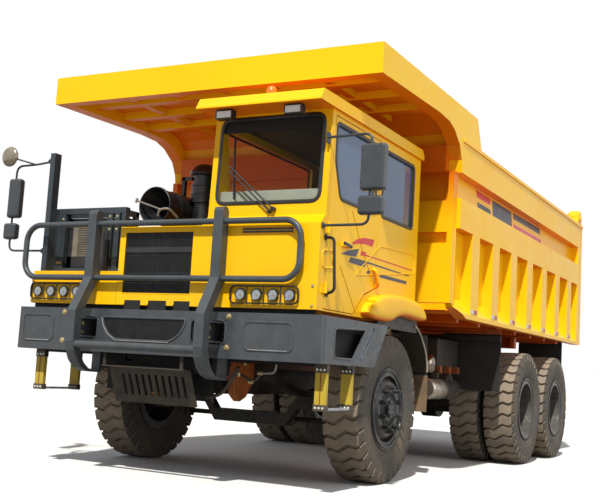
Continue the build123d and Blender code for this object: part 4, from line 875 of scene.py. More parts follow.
# Honeycomb over the core, a cross band, and the lower slots
grille_y = aft(-1.488)
window = ((-0.444, 1.561), (0.274, 1.561), (0.274, 2.097), (-0.444, 2.097))
cells = [honeycomb(window, grille_y, 0.0215, 0.0042, 0.008)]
slot_shades = []
for low, high in ((-0.396, -0.237), (-0.142, 0.033), (0.125, 0.274)):
    slot_outline = ((low, 1.418), (high, 1.418), (high, 1.500), (low, 1.500))
    cells.append(honeycomb(slot_outline, aft(-1.5035), 0.0215, 0.0042, 0.004))
    # Painted shade: a black block behind each slot's honeycomb.
    slot_shades.append(block((low - 0.006, -1.5022, 1.416), (high + 0.006, -1.499, 1.502)))
piece("grille_slots", slot_shades, "deep_black", smooth=0)
piece("grille_mesh", cells, "mesh_black", smooth=0)
band = [
    block((-0.444, -1.496, 1.917), (0.274, -1.484, 1.964)),
    block((-0.444, -1.494, 1.730), (0.274, -1.486, 1.738)),
    block((-0.089, -1.493, 1.561), (-0.081, -1.486, 2.097)),
]
piece("grille_band", band, "mesh_black", bevel=0.003)
outer_seam = ((-0.494, 1.466), (0.322, 1.466), (0.322, 2.139), (-0.494, 2.139))
lips = [
    loop(front_view(window, aft(-1.500)), 0.012, oval(0.010, 0.006, 8)),
    loop(front_view(outer_seam, aft(-1.4995)), 0.02, oval(0.008, 0.004, 8)),
]
piece("grille_lips", lips, "body_yellow")
# Painted shade: a black sheet behind the honeycomb.
shade_behind_grille = [block((-0.46, -1.462, 1.55), (0.285, -1.456, 2.11))]
piece("grille_backing", shade_behind_grille, "deep_black")

# Round lamps: a bright bowl, a bulb shield and a domed lens in a thin rim
lamp_y, lamp_z, lamp_pitch, lamp_radius = aft(-1.518), 1.567, 0.152, 0.047
lamp_xs = [centre + (k - 1.5) * lamp_pitch for centre in (-1.158, 1.010) for k in range(4)]
bowl_section = (
    (0, 0.045), (0.003, 0.045), (-0.003, 0.036), (-0.009, 0.021), (-0.012, 0.008),
    (-0.016, 0.008), (-0.016, 0.045),
)
lens_turns = np.linspace(0.06, pi / 2, 8)
lens_section = [(0.006 + 0.012 * cos(a), lamp_radius * 0.90 * sin(a)) for a in lens_turns]
lens_section += [(0.0, lamp_radius * 0.93)]
rim_section = ((0, 0.0425), (0, 0.0500), (0.010, 0.0505), (0.015, 0.0475), (0.012, 0.0425))
front_lamps = [(x, lamp_y, lamp_z) for x in lamp_xs]
bowls = [lathe(bowl_section[::-1], place, forward, 28, closed=True) for place in front_lamps]
lenses = [lathe(lens_section[::-1], place, forward, 28) for place in front_lamps]
rims = [lathe(rim_section, place, forward, 28, closed=True) for place in front_lamps]
shields = [dome((x, y - 0.001, z), forward, 0.012, 0.006, 12, 4) for x, y, z in front_lamps]
piece("lamp_lenses", lenses, "lamp_glass", replaces=["headlamps"])
piece("lamp_bowls", bowls + shields, "bowl_dark")
piece("lamp_rims", rims, "mesh_black")

# Black loops round the two rows of lamps
cages = []
for low, high in ((0.688, 1.316), (-1.464, -0.852)):
    corners = front_view(((low, 1.497), (high, 1.497), (high, 1.637), (low, 1.637)), aft(-1.522))
    cages.append(loop(corners, 0.045, oval(0.013, 0.030, 10)))
    for k in (1, 2, 3):
        x = low + (high - low) * k / 4
        cages.append(pipe([(x, -1.528, 1.500), (x, -1.528, 1.634)], 0, 0.0055, 8))
piece("cage_loops", cages, "black_steel", replaces=["lamp_cages"])

# Cab: seals, wiper, inside, seams, stripes, rail, lamps and mirrors
cab_side = 1.470
screen_foot, screen_foot_z, screen_lean = -1.42, 2.23, 0.0399


def decal(outline, thickness=0.0012):
    """Thin flat shape on the cab's outer wall."""
    return prism(side_view(outline), cab_side - 0.001, cab_side + thickness, 0)


def screen_y(z, out=0.0):
    """Y of the windscreen's outer face at a height, a little in front of it where asked."""
    return aft(screen_foot + (z - screen_foot_z) * screen_lean - out)


door_pane = ((-1.175, 2.395), (-0.455, 2.395), (-0.455, 3.010), (-1.295, 3.010), (-1.295, 2.700))
quarter_pane = ((-0.320, 2.395), (0.440, 2.395), (0.440, 3.010), (-0.320, 3.010))
right_pane = ((-1.150, 2.395), (0.360, 2.395), (0.360, 3.010), (-1.250, 3.010))
seal_section = oval(0.034, 0.014)
screen_corners = [
    (x, screen_y(z, 0.002), z)
    for x, z in ((0.420, 2.340), (1.400, 2.340), (1.400, 3.070), (0.420, 3.070))
]
seals = [
    loop(screen_corners, 0.085, seal_section),
    loop(on_side(quarter_pane, cab_side), 0.05, seal_section),
    loop(on_side(right_pane, 0.350), 0.05, seal_section),
]
piece("pane_seals", seals, "black_plastic")
door_seals = [loop(on_side(door_pane, cab_side), 0.05, seal_section)]
piece("door_seal", door_seals, "black_plastic", "cab_door")

tint = [
    (x, screen_y(z, -0.012), z)
    for x, z in ((0.425, 2.955), (1.395, 2.955), (1.395, 3.065), (0.425, 3.065))
]
tint_back = [(x, y + 0.003, z) for x, y, z in tint]
tint_points = np.array([tint, tint_back])
piece(
    "screen_tint",
    [surface(tint_points, wrap_columns=True, caps=True)],
    "deep_black",
)

pivot = (0.993, screen_y(2.279, 0.015), 2.279)
arm_tip = (0.545, screen_y(2.656, 0.028), 2.656)
wiper = []
for drop in (0.0, 0.035):
    start = (pivot[0] - drop, pivot[1] - 0.012, pivot[2] - drop * 0.5)
    end = (arm_tip[0] - drop * 0.3, arm_tip[1], arm_tip[2] - drop)
    wiper.append(rod(start, end, 0.0075, 8))
blade = [
    (0.565, screen_y(2.903, 0.016), 2.903),
    (0.583, screen_y(2.64, 0.024), 2.64),
    (0.604, screen_y(2.371, 0.016), 2.371),
]
wiper.append(sweep(rounded_path(blade, 0.1), oval(0.012, 0.03, 8)))
wiper.append(rod((pivot[0], pivot[1] + 0.02, pivot[2]), (pivot[0], pivot[1] - 0.03, pivot[2]), 0.02, 14))
second_pivot = [(pivot[0] - 0.04, pivot[1] + out, pivot[2] - 0.02) for out in (0.02, -0.02)]
wiper.append(rod(*second_pivot, 0.014, 12))
piece("wiper", wiper, "black_plastic")

# Inside: dark lining under the roof and on the rear wall, hood over the instruments
lining = [
    block((0.392, -1.335, 3.078), (1.428, 0.555, 3.105)),
    block((0.392, 0.545, 2.34), (1.428, 0.558, 3.08)),
]
piece("roof_lining", lining, "lining_grey", bevel=0.006)
hood_back = screen_y(2.46)
hood = [
    prism(
        [
            (hood_back + 0.045, 2.285),
            (aft(-1.03), 2.285),
            (aft(-1.03), 2.43),
            (aft(-1.09), 2.468),
            (hood_back + 0.055, 2.455),
        ],
        0.405,
        1.415,
        0,
    ),
    dome((0.63, aft(-1.21), 2.462), upward, 0.07, 0.02, 24, 5),
    dome((1.22, aft(-1.21), 2.462), upward, 0.07, 0.02, 24, 5),
]
piece("dash_hood", hood, "dash_plastic", bevel=0.02, segments=3)

# Pressed shapes and seams on the side: belt emboss, latch, handle, side bump
emboss = [
    loop(
        on_side(
            ((-0.805, 1.809), (0.553, 1.977), (0.531, 2.155), (-0.317, 2.126), (-0.748, 1.854)),
            cab_side,
        ),
        0.06,
        oval(0.010, 0.008, 8),
    ),
    loop(
        on_side(((-1.447, 1.937), (-1.269, 1.955), (-1.251, 1.814), (-1.430, 1.799)), cab_side),
        0.03,
        oval(0.014, 0.014, 8),
    ),
]
piece("side_emboss", emboss, "body_yellow")
# Painted shade: darker orange lines along the door's creases.
seams = []
for a, b in (
    ((-0.933, 2.339), (-0.690, 2.034)),
    ((-0.690, 2.034), (-0.372, 1.735)),
    ((-1.112, 1.850), (-0.765, 1.487)),
):
    seams.append(bar((cab_side, a[0], a[1]), (cab_side, b[0], b[1]), 0.0035, 8))
piece("door_creases", seams, "paint_shade", "cab_door")
lever = prism(
    side_view(((-1.115, 2.024), (-0.965, 2.012), (-0.960, 2.038), (-1.110, 2.056))), 1.488, 1.508, 0
)
piece("door_lever", [lever], "black_plastic", "cab_door", bevel=0.006)
latch_line = [
    (1.468, aft(-0.452), 1.905),
    (1.497, aft(-0.440), 1.885),
    (1.500, aft(-0.385), 1.775),
    (1.468, aft(-0.370), 1.745),
]
latch = tube(latch_line, 0.02, 0.019, 14)
piece("side_latch", [latch], "body_yellow", bevel=0.006)

vent = [
    block((0.753, -1.503, 2.076), (1.235, -1.499, 2.091)),
    block((0.753, -1.503, 2.098), (1.235, -1.499, 2.114)),
]
piece("front_vent", vent, "mesh_black")
vent_lips = [
    loop(
        front_view(((0.748, 2.068), (1.240, 2.068), (1.240, 2.123), (0.748, 2.123)), aft(-1.503)),
        0.018,
        oval(0.012, 0.012, 8),
    )
]
piece("vent_lips", vent_lips, "body_yellow")

# Stripes: (distance behind the datum, height) outlines
red_on_door = (
    (
        (-0.943, 2.051), (-0.812, 2.116), (-0.657, 2.152), (-0.442, 2.163), (-0.484, 2.096),
        (-0.640, 2.098), (-0.790, 2.080),
    ),
    ((-0.712, 2.028), (-0.609, 2.031), (-0.621, 1.996), (-0.726, 1.989)),
    ((-0.612, 2.011), (-0.394, 2.010), (-0.394, 1.999), (-0.621, 1.997)),
)
red_on_cab = (((-0.386, 2.010), (0.488, 2.007), (0.481, 1.996), (-0.386, 1.999)),)
grey_on_door = (
    ((-1.110, 1.951), (-0.953, 2.004), (-0.755, 2.041), (-0.809, 1.965), (-0.960, 1.955)),
    ((-0.915, 1.951), (-0.583, 1.954), (-0.625, 1.898), (-0.955, 1.901)),
    ((-0.583, 1.954), (-0.394, 1.952), (-0.394, 1.938), (-0.592, 1.937)),
    ((-0.557, 1.879), (-0.491, 1.881), (-0.514, 1.851), (-0.587, 1.851)),
)
grey_on_cab = (
    ((-0.386, 1.952), (0.415, 1.942), (0.408, 1.932), (-0.386, 1.937)),
    ((-0.321, 1.877), (0.363, 1.882), (0.347, 1.851), (-0.282, 1.847)),
)
for name, outlines, finish, body in (
    ("stripes_red_door", red_on_door, "stripe_red", "cab_door"),
    ("stripes_red_cab", red_on_cab, "stripe_red", "chassis"),
    ("stripes_grey_door", grey_on_door, "stripe_grey", "cab_door"),
    ("stripes_grey_cab", grey_on_cab, "stripe_grey", "chassis"),
):
    piece(name, [decal(outline) for outline in outlines], finish, body)

rail_path = [
    (cab_side, aft(-1.405), 2.045),
    (1.545, aft(-1.40), 2.040),
    (1.552, aft(-1.36), 1.62),
    (cab_side, aft(-1.34), 1.600),
]
grab_rail = [tube(rail_path, 0.05, 0.0125)]
for y, z in ((-1.405, 2.045), (-1.34, 1.600)):
    grab_rail.append(bar((cab_side - 0.002, y, z), (cab_side + 0.008, y, z), 0.028, 16))
piece("grab_rail", grab_rail, "black_steel")

# Roof: lamps under the visor in dark housings, the amber beacon on its foot
roof_faces, roof_cases, roof_rims = [], [], []
for x in (0.562, 1.215):
    roof_cases.append(block((x - 0.080, -1.610, 3.022), (x + 0.080, -1.540, 3.098)))
    roof_cases.append(block((x - 0.016, -1.590, 3.090), (x + 0.016, -1.555, 3.1075)))
    roof_faces.append(block((x - 0.069, -1.6135, 3.032), (x + 0.069, -1.6085, 3.088)))
    rim_corners = ((x - 0.076, 3.026), (x + 0.076, 3.026), (x + 0.076, 3.094), (x - 0.076, 3.094))
    roof_rims.append(loop(front_view(rim_corners, aft(-1.612)), 0.012, oval(0.010, 0.010, 8)))
beacon_x, beacon_y = 0.875, aft(-1.380)
foot_section = ((0, 0.052), (0.012, 0.052), (0.014, 0.044), (0.02, 0.044))
roof_cases.append(lathe(foot_section, (beacon_x, beacon_y, 3.2053), upward, 24))
piece(
    "roof_lamp_cases",
    roof_cases,
    "black_plastic",
    replaces=["roof_lamps"],
    bevel=0.006,
    segments=3,
)
piece("roof_lamp_faces", roof_faces, "lamp_white", bevel=0.002)
piece("roof_lamp_rims", roof_rims, "black_plastic")
beacon_section = ((0, 0.046), (0.07, 0.046), (0.095, 0.041), (0.112, 0.030), (0.120, 0.012))
beacon = lathe(beacon_section, (beacon_x, beacon_y, 3.222), upward, 24)
piece("beacon", [beacon], "amber_glow")

# Mirrors: rounded housings on bent tubes, bright panes on their rear side
left_shells = [
    block((1.790, -1.520, 2.393), (2.000, -1.440, 2.765)),
    block((1.780, -1.520, 2.203), (1.995, -1.440, 2.353)),
]
left_arms = [
    pipe(
        [
            (1.462, -1.440, 2.850), (1.870, -1.480, 2.850), (1.870, -1.480, 2.130),
            (1.480, -1.470, 2.130),
        ],
        0.07,
        0.011,
    ),
    block((1.452, -1.450, 2.806), (1.4695, -1.400, 2.894)),
    block((1.4705, -1.490, 2.108), (1.484, -1.450, 2.152)),
]
right_shells = [
    block((-1.908, -1.490, 2.262), (-1.765, -1.410, 2.640)),
    block((-1.930, -1.490, 2.058), (-1.785, -1.410, 2.212)),
]
right_arms = [
    pipe(
        [
            (-1.420, -1.423, 2.800), (-1.620, -1.43, 2.775), (-1.850, -1.450, 2.765),
            (-1.865, -1.450, 1.950), (-1.420, -1.423, 1.950),
        ],
        0.07,
        0.010,
    ),
    pipe([(-1.640, -1.440, 2.777), (-1.80, -1.500, 2.820), (-1.900, -1.510, 2.850)], 0.03, 0.008),
    block((-1.435, -1.460, deck_top), (-1.378, -1.372, 2.870)),
]
for z in (1.950, 2.800):
    gusset = ((-1.436, z - 0.045), (-1.490, z - 0.012), (-1.490, z + 0.012), (-1.436, z + 0.045))
    right_arms.append(prism(gusset, aft(-1.430), aft(-1.416), 1))
piece(
    "mirror_shells",
    left_shells + right_shells,
    "mirror_grey",
    bevel=0.026,
    segments=4,
)
piece(
    "mirror_arms",
    left_arms + right_arms,
    "cooler_paint",
    replaces=["mirror_left", "mirror_right"],
    bevel=0.003,
)
panes = [
    block((1.806, -1.441, 2.410), (1.984, -1.438, 2.748)),
    block((1.806, -1.441, 2.218), (1.984, -1.438, 2.338)),
    block((-1.895, -1.411, 2.278), (-1.778, -1.408, 2.624)),
    block((-1.918, -1.411, 2.072), (-1.797, -1.408, 2.198)),
]
piece("mirror_panes", panes, "mirror_bright")
wide_mirror = [dome((-1.901, aft(-1.502), 2.850), forward, 0.0975, 0.036, 32, 8, 0.006)]
piece("wide_mirror", wide_mirror, "chrome_soft")

# Driver's seat: padded cushion, back and headrest on a pedestal, with sewn piping
voxel = 0.006
travel_cap = 0.014
filling_pressure, cloth_frames = 4, 20


def rounded_box(low, high, lean=0, cuts=6):
    """Box drawn in a little from its corners, its top shifted back by lean."""
    low, high = np.asarray(low, float), np.asarray(high, float)
    u = np.linspace(0, 2 * pi, 4 * cuts, endpoint=False)
    power = 0.28
    ring = np.stack(
        [
            np.sign(np.cos(u)) * np.abs(np.cos(u)) ** power,
            np.sign(np.sin(u)) * np.abs(np.sin(u)) ** power,
        ],
        1,
    )
    rows = []
    for t in np.linspace(-pi / 2 * 0.97, pi / 2 * 0.97, 9):
        width = np.cos(t) ** 0.22
        height = np.sign(np.sin(t)) * np.abs(np.sin(t)) ** 0.6
        rows.append(np.column_stack([ring * width, np.full(len(ring), height)]))
    unit = np.array(rows)
    points = (low + high) / 2 + unit * (high - low) / 2
    share = (points[:, :, 2] - low[2]) / (high[2] - low[2])
    points[:, :, 1] += share * lean
    return surface(points, wrap_columns=True, caps=True)


def baked(thing):
    """The piece's mesh with its modifiers worked in."""
    finished = bpy.data.meshes.new_from_object(thing.evaluated_get(bpy.context.evaluated_depsgraph_get()))
    thing.modifiers.clear()
    thing.data = finished
    return finished


def places(mesh):
    """Vertex positions as an array."""
    found = np.empty(len(mesh.vertices) * 3, np.float32)
    mesh.vertices.foreach_get("co", found)
    return found.reshape(-1, 3)


def stuffed(thing):
    """The piece swollen like a filled cover, with each point's travel held below the cap."""
    grid = thing.modifiers.new("grid", "REMESH")
    grid.mode = "VOXEL"
    grid.voxel_size = voxel
    mesh = baked(thing)
    rest = places(mesh).copy()
    cloth = thing.modifiers.new("cloth", "CLOTH")
    cloth.settings.use_pressure = True
    cloth.settings.uniform_pressure_force = filling_pressure
    cloth.settings.effector_weights.gravity = 0
    scene = bpy.context.scene
    for step in range(1, cloth_frames + 1):
        scene.frame_set(step)
        bpy.context.view_layer.update()
    swollen = thing.evaluated_get(bpy.context.evaluated_depsgraph_get()).to_mesh()
    shift = places(swollen) - rest
    thing.modifiers.clear()
    scene.frame_set(1)
    length = np.linalg.norm(shift, axis=1)[:, None]
    moved = rest + shift * np.minimum(1, travel_cap / np.maximum(length, 1e-9))
    mesh.vertices.foreach_set("co", moved.astype(np.float32).ravel())
    mesh.polygons.foreach_set("use_smooth", np.ones(len(mesh.polygons), bool))
    mesh.update()


pads = (
    ("seat_cushion", rounded_box((0.806, aft(-0.624), 1.852), (1.274, aft(-0.170), 1.946))),
    ("seat_back", rounded_box((0.806, aft(-0.136), 1.970), (1.274, aft(-0.054), 2.622), 0.100)),
    ("seat_headrest", rounded_box((0.915, aft(-0.008), 2.664), (1.165, aft(0.052), 2.786))),
)
for name, part in pads:
    pad = piece(name, [part], "seat_cloth", smooth=60)
    stuffed(pad)

seat_frame = [
    block((0.850, -0.560, 1.503), (1.230, -0.160, 1.800)),
    block((0.830, -0.600, 1.800), (1.250, -0.120, 1.842)),
    prism(side_view(((-0.070, 1.86), (-0.045, 1.86), (0.048, 2.63), (0.023, 2.63))), 0.90, 1.18, 0),
]
seat_frame += [bar((x, 0.022, 2.60), (x, 0.022, 2.70), 0.009, 12) for x in (0.990, 1.090)]
piece(
    "seat_frame", seat_frame, "black_plastic", replaces=["driver_seat"], bevel=0.006
)
cord = oval(0.010, 0.010, 8)
cushion_seam = ((0.804, -0.626), (1.276, -0.626), (1.276, -0.168), (0.804, -0.168))
back_seam = (
    (0.806, -0.095, 1.985), (1.274, -0.095, 1.985), (1.274, 0.003, 2.605), (0.806, 0.003, 2.605)
)
piping = [
    loop([placed((x, d, 1.905)) for x, d in cushion_seam], 0.05, cord),
    loop([placed(corner) for corner in back_seam], 0.06, cord),
]
piece("seat_piping", piping, "black_plastic")

# Right deck: the cooler's frame, core and bars, and the air cleaner with its intake stack
cooler_front = -1.330
cooler_frame = [
    block((-1.440, cooler_front, 2.305), (-0.600, -1.270, 2.360)),
    block((-1.440, cooler_front, 1.756), (-0.600, -1.270, 1.800)),
    block((-1.440, cooler_front, 1.800), (-1.300, -1.270, 2.305)),
    block((-0.646, cooler_front, 1.800), (-0.600, -1.270, 2.305)),
    block((-0.805, cooler_front, 1.800), (-0.748, -1.300, 2.305)),
    block((-0.722, cooler_front, 1.800), (-0.665, -1.300, 2.305)),
    block((-1.440, -1.270, 2.290), (-1.400, -1.130, 2.340)),
    block((-0.640, -1.270, 2.290), (-0.600, -1.130, 2.340)),
    block((-1.440, -1.180, 1.756), (-1.400, -1.130, 2.340)),
    block((-0.640, -1.180, 1.756), (-0.600, -1.130, 2.340)),
    block((-1.440, -1.150, 2.300), (-0.600, -1.130, 2.340)),
]
piece(
    "cooler_frame", cooler_frame, "cooler_paint", replaces=["cooler_unit"], bevel=0.003
)
cooler_dark = [
    block((-1.400, -1.262, 1.800), (-0.900, -1.250, 1.915)),
    block((-1.400, -1.262, 2.205), (-0.900, -1.250, 2.275)),
    block((-1.400, -1.262, 1.800), (-1.255, -1.250, 2.275)),
    block((-0.900, -1.262, 1.760), (-0.860, -1.150, 2.275)),
    block((-1.400, -1.245, 1.760), (-0.640, -1.170, 2.275)),
    bar((-0.776, -1.352, 1.790), (-0.776, -1.352, 2.060), 0.026, 18),
    bar((-0.776, -1.352, 2.060), (-0.776, -1.352, 2.150), 0.009, 10),
]
piece("cooler_shroud", cooler_dark, "mesh_black", bevel=0.002)
fin = block((-1.185, -1.262, 1.918), (-0.902, -1.248, 1.927))
fins = [copies(fin, [(0, 0, k * 0.0165) for k in range(17)])]
fins.append(block((-1.250, -1.266, 1.915), (-1.188, -1.250, 2.205)))
piece("cooler_fins", fins, "core_tan")
bar_bolts = []
for x in (-0.776, -0.694):
    for z in (2.155, 2.215, 2.275):
        bar_bolts += bolt(placed((x, cooler_front, z)), forward, 0.008, 0.007)
for x, z in ((-1.330, 1.850), (-1.330, 2.260), (-1.360, 1.850)):
    bar_bolts += bolt(placed((x, cooler_front, z)), forward, 0.009, 0.008)
piece("cooler_bolts", bar_bolts, "zinc")

drum_x, drum_z = -0.690, 2.470
drum_section = (
    (0.000, 0.176), (0.004, 0.184), (0.024, 0.184), (0.030, 0.172), (0.620, 0.172),
    (0.650, 0.150), (0.650, 0.010), (0.300, 0.010), (0.260, 0.060), (0.040, 0.160),
    (0.006, 0.170),
)
intake = [lathe(drum_section, (drum_x, aft(-0.800), drum_z), backward, 56, closed=True)]
hoop = ((0, 0.171), (0, 0.178), (0.04, 0.178), (0.04, 0.171))
for y in (-0.56, -0.24):
    intake.append(block((-0.750, y - 0.025, deck_top), (-0.630, y + 0.025, 2.310)))
    intake.append(lathe(hoop, (drum_x, aft(y - 0.02), drum_z), backward, 48, closed=True))
stack_section = (
    (0.000, 0.100), (0.800, 0.100), (0.805, 0.122), (0.880, 0.122), (0.884, 0.128),
    (0.896, 0.128), (0.900, 0.118), (0.970, 0.118), (0.974, 0.126), (0.986, 0.126),
    (0.990, 0.112), (1.080, 0.112), (1.085, 0.146), (1.100, 0.150), (1.125, 0.138),
    (1.165, 0.108), (1.190, 0.080), (1.200, 0.040),
)
intake.append(lathe(stack_section, (-0.450, aft(-0.330), deck_top), upward, 40))
intake.append(block((-0.655, -0.425, deck_top), (-0.620, -0.385, 2.820)))
intake.append(block((-0.655, -0.425, 2.785), (-0.540, -0.395, 2.820)))
elbow = ((-0.690, -0.20, 2.470), (-0.690, -0.08, 2.470), (-0.560, -0.08, 2.400), (-0.480, -0.28, 2.380))
intake.append(pipe(elbow, 0.10, 0.075))
piece("air_intake", intake, "intake_black", replaces=["air_cleaner"])
clamp = [
    bar((-0.895, -0.805, 2.520), (-0.600, -0.805, 2.425), 0.010, 10),
    bar((-0.905, -0.81, 2.500), (-0.890, -0.81, 2.545), 0.012, 10),
    pipe(
        [(-0.62, -0.82, 2.36), (-0.60, -0.84, 2.42), (-0.52, -0.80, 2.44), (-0.48, -0.70, 2.36)],
        0.04,
        0.012,
        8,
    ),
]
piece("intake_clamp", clamp, "rim_silver")
deck_edge = [
    block((-1.486, -1.484, 1.700), (-0.503, -1.478, 1.756)),
    block((-1.486, -1.4805, 1.6555), (-0.503, -1.4785, 1.700)),
]
piece("deck_edge", deck_edge, "body_yellow")

# Body: stripes and reflectors on both sides, rounded ears at the tailgate's pin
wall_face = 1.655


def stripe(corners):
    """Flat film on the recessed panel, drawn by (distance, height) corners."""
    return prism(side_view(corners), wall_face - 0.001, wall_face + 0.0015, 0)


stripe_shapes = (
    (
        "bed_stripe_red",
        "stripe_red",
        [((1.790, 3.041), (2.338, 3.037), (2.338, 2.968), (1.846, 2.966))],
    ),
    (
        "bed_stripe_pink",
        "stripe_pink",
        [((3.304, 2.906), (4.664, 2.906), (4.704, 2.842), (3.345, 2.840))],
    ),
    (
        "bed_stripe_grey",
        "stripe_grey",
        [
            ((1.863, 2.917), (2.344, 2.914), (2.371, 2.852), (1.884, 2.856)),
            ((2.399, 3.038), (3.200, 3.038), (3.254, 2.848), (2.456, 2.852)),
            ((3.258, 3.040), (4.572, 3.046), (4.619, 2.970), (3.298, 2.966)),
        ],
    ),
)
for name, finish, shapes in stripe_shapes:
    parts = [part for corners in shapes for part in both_sides(stripe(corners))]
    piece(name, parts, finish, "tipping_body", smooth=0)

reflector_low, reflector_high = 1.664, 1.706
rib_first, rib_pitch, rib_count = 1.545, 0.737, 7
rib_middles = [rib_first + rib_pitch * index for index in range(rib_count)]
whites, reds = [], []
for middle in rib_middles:
    for shapes, low, high in ((whites, -0.112, -0.008), (reds, 0.0, 0.105)):
        plate = block((1.7642, middle + low, reflector_low), (1.7668, middle + high, reflector_high))
        shapes += both_sides(plate)
for colour, shapes in (("white", whites), ("red", reds)):
    piece(f"reflectors_{colour}", shapes, f"reflector_{colour}", "tipping_body", smooth=0)

gate_pin = (6.56, 3.51)
ears = []
for side in (-1, 1):
    for inner, outer, radius, steps in ((1.600, 1.772, 0.118, 32), (1.768, 1.783, 0.042, 20)):
        ears.append(bar((side * inner, *gate_pin), (side * outer, *gate_pin), radius, steps))
piece("gate_ears", ears, "body_yellow", "tipping_body", bevel=0.004)

# Body: weld beads where the ribs meet the wall and the rails
bead_radius = 0.006
beads = []
for middle in rib_middles:
    for edge in (-0.125, 0.125):
        corners = [(wall_face, middle + edge, z) for z in (1.66, 2.488)]
        beads += both_sides(pipe(corners, 0, bead_radius, 6))
for z in (2.488, 3.058, 2.802):
    beads += both_sides(pipe([(wall_face, 1.28, z), (wall_face, 6.48, z)], 0, bead_radius, 6))
piece("bed_welds", beads, "body_yellow", "tipping_body")

# Cab's wheel arches, inner fenders, flaps, steps and what hangs below


def softened(outline, times=2):
    """Closed outline with its corners cut again and again until it reads as a curve."""
    points = np.asarray(outline, float)
    for _ in range(times):
        following = np.roll(points, -1, 0)
        pair = [points * 0.75 + following * 0.25, points * 0.25 + following * 0.75]
        points = np.stack(pair, 1).reshape(-1, 2)
    return points


def pillow(outline, middle, layers):
    """Flat outline closed in on its middle line, layer by layer: (X, share of length, share of height)."""
    points = softened(outline)
    turn = np.sum(points[:, 0] * np.roll(points[:, 1], -1) - np.roll(points[:, 0], -1) * points[:, 1])
    if turn > 0:
        points = points[::-1]
    spine = np.array(middle)
    heights = np.interp(points[:, 0], spine[:, 0], spine[:, 1])
    rings = []
    for x, length, height in layers:
        across = points[:, 0] * length
        up = np.interp(across, spine[:, 0], spine[:, 1]) + (points[:, 1] - heights) * height
        rings.append(np.column_stack([np.full(len(points), x), aft(across), up]))
    return surface(np.array(rings), wrap_columns=True, caps=True)


flare_outline = (
    (-0.700, 1.462), (-0.600, 1.590), (-0.430, 1.672), (-0.200, 1.704), (0.050, 1.712),
    (0.300, 1.708), (0.480, 1.690), (0.610, 1.648), (0.690, 1.580), (0.700, 1.520),
    (0.450, 1.524), (0.250, 1.536), (0.090, 1.532), (-0.050, 1.506), (-0.150, 1.466), (-0.250, 1.452),
)
flare_middle = (
    (-0.70, 1.478), (-0.45, 1.565), (-0.20, 1.605), (0.05, 1.622), (0.40, 1.615), (0.70, 1.555)
)
flare_layers = (
    (1.455, 1.0, 1.0), (1.530, 1.0, 1.0), (1.548, 0.995, 0.975), (1.560, 0.985, 0.92),
    (1.569, 0.970, 0.80), (1.574, 0.950, 0.60), (1.576, 0.93, 0.30),
)
flare = pillow(flare_outline, flare_middle, flare_layers)
piece(
    "arch_flares",
    both_sides(flare),
    "body_yellow",
    "chassis",
    ["wheel_arches"],
    smooth=50,
)

fender_line = (
    (-0.18, 1.440), (-0.08, 1.500), (0.10, 1.522), (0.40, 1.516), (0.60, 1.478), (0.72, 1.425),
    (0.80, 1.360), (0.88, 1.285), (0.940, 1.200), (0.975, 1.110), (0.988, 1.035),
)
fender_path = [(1.27, aft(d), z) for d, z in fender_line]
fender_sheet = sweep(
    rounded_path(fender_path, 0.05, 4), [(-0.21, 0.0), (0.21, 0.0), (0.21, 0.012), (-0.21, 0.012)]
)
fender_rib = sweep(
    rounded_path(fender_path, 0.05, 4), [(-0.02, -0.014), (0.02, -0.014), (0.02, 0.001), (-0.02, 0.001)]
)
piece(
    "inner_fenders", both_sides(fender_sheet, fender_rib), "fender_olive", smooth=50
)
screens = [
    block((1.473, -0.30, 1.405), (1.478, 0.66, 1.540)),
    block((1.473, -0.44, 1.352), (1.478, -0.02, 1.420)),
]
piece(
    "arch_screens", screens + [mirrored(part) for part in screens], "fender_olive"
)
flange = tube([(1.484, aft(d), z) for d, z in fender_line[4:]], 0.05, 0.009, 10)
piece("fender_flanges", both_sides(flange), "edge_steel")
cover = block((1.056, 0.990, 0.642), (1.484, 0.9955, 1.002))
cover_side = block((1.4805, 0.992, 0.642), (1.4845, 1.008, 1.002))
piece("flap_covers", both_sides(cover, cover_side), "flap_dust", smooth=0)

# Steps: straps between black end plates with bolt heads, a seam down the first strap, a plain tread
straps, plates, bolts, seams, treads = [], [], [], [], []
for side, low, high in ((1, 1.435, 1.535), (-1, 1.360, 1.460)):
    centre = (low + high) / 2
    for middle in (-1.362, -0.888):
        straps.append(handed(side, (low, middle - 0.020, 0.690), (high, middle + 0.020, 1.030)))
        for bottom, top, thick in ((0.972, 1.0415, 0.024), (0.674, 0.724, 0.027)):
            corners = (low - 0.005, middle - thick, bottom), (high + 0.005, middle + thick, top)
            plates.append(handed(side, *corners))
            for x in (low + 0.018, centre, high - 0.018):
                bolts += bolt(
                    (side * x, aft(middle - thick), bottom + 0.024), forward, 0.0065, 0.007
                )
    seams.append(handed(side, (centre - 0.004, -1.385, 0.722), (centre + 0.004, -1.3815, 0.974)))
    treads.append(handed(side, (low + 0.002, -1.340, 0.680), (high - 0.002, -0.910, 0.698)))
piece("step_straps", straps, "step_yellow", replaces=["steps"], bevel=0.003)
piece("step_plates", plates, "black_steel", bevel=0.003)
piece("step_bolts", bolts, "bolt_white")
piece("step_seams", seams, "seam_red", smooth=0)
piece("step_treads", treads, "tread_plate", bevel=0.002)

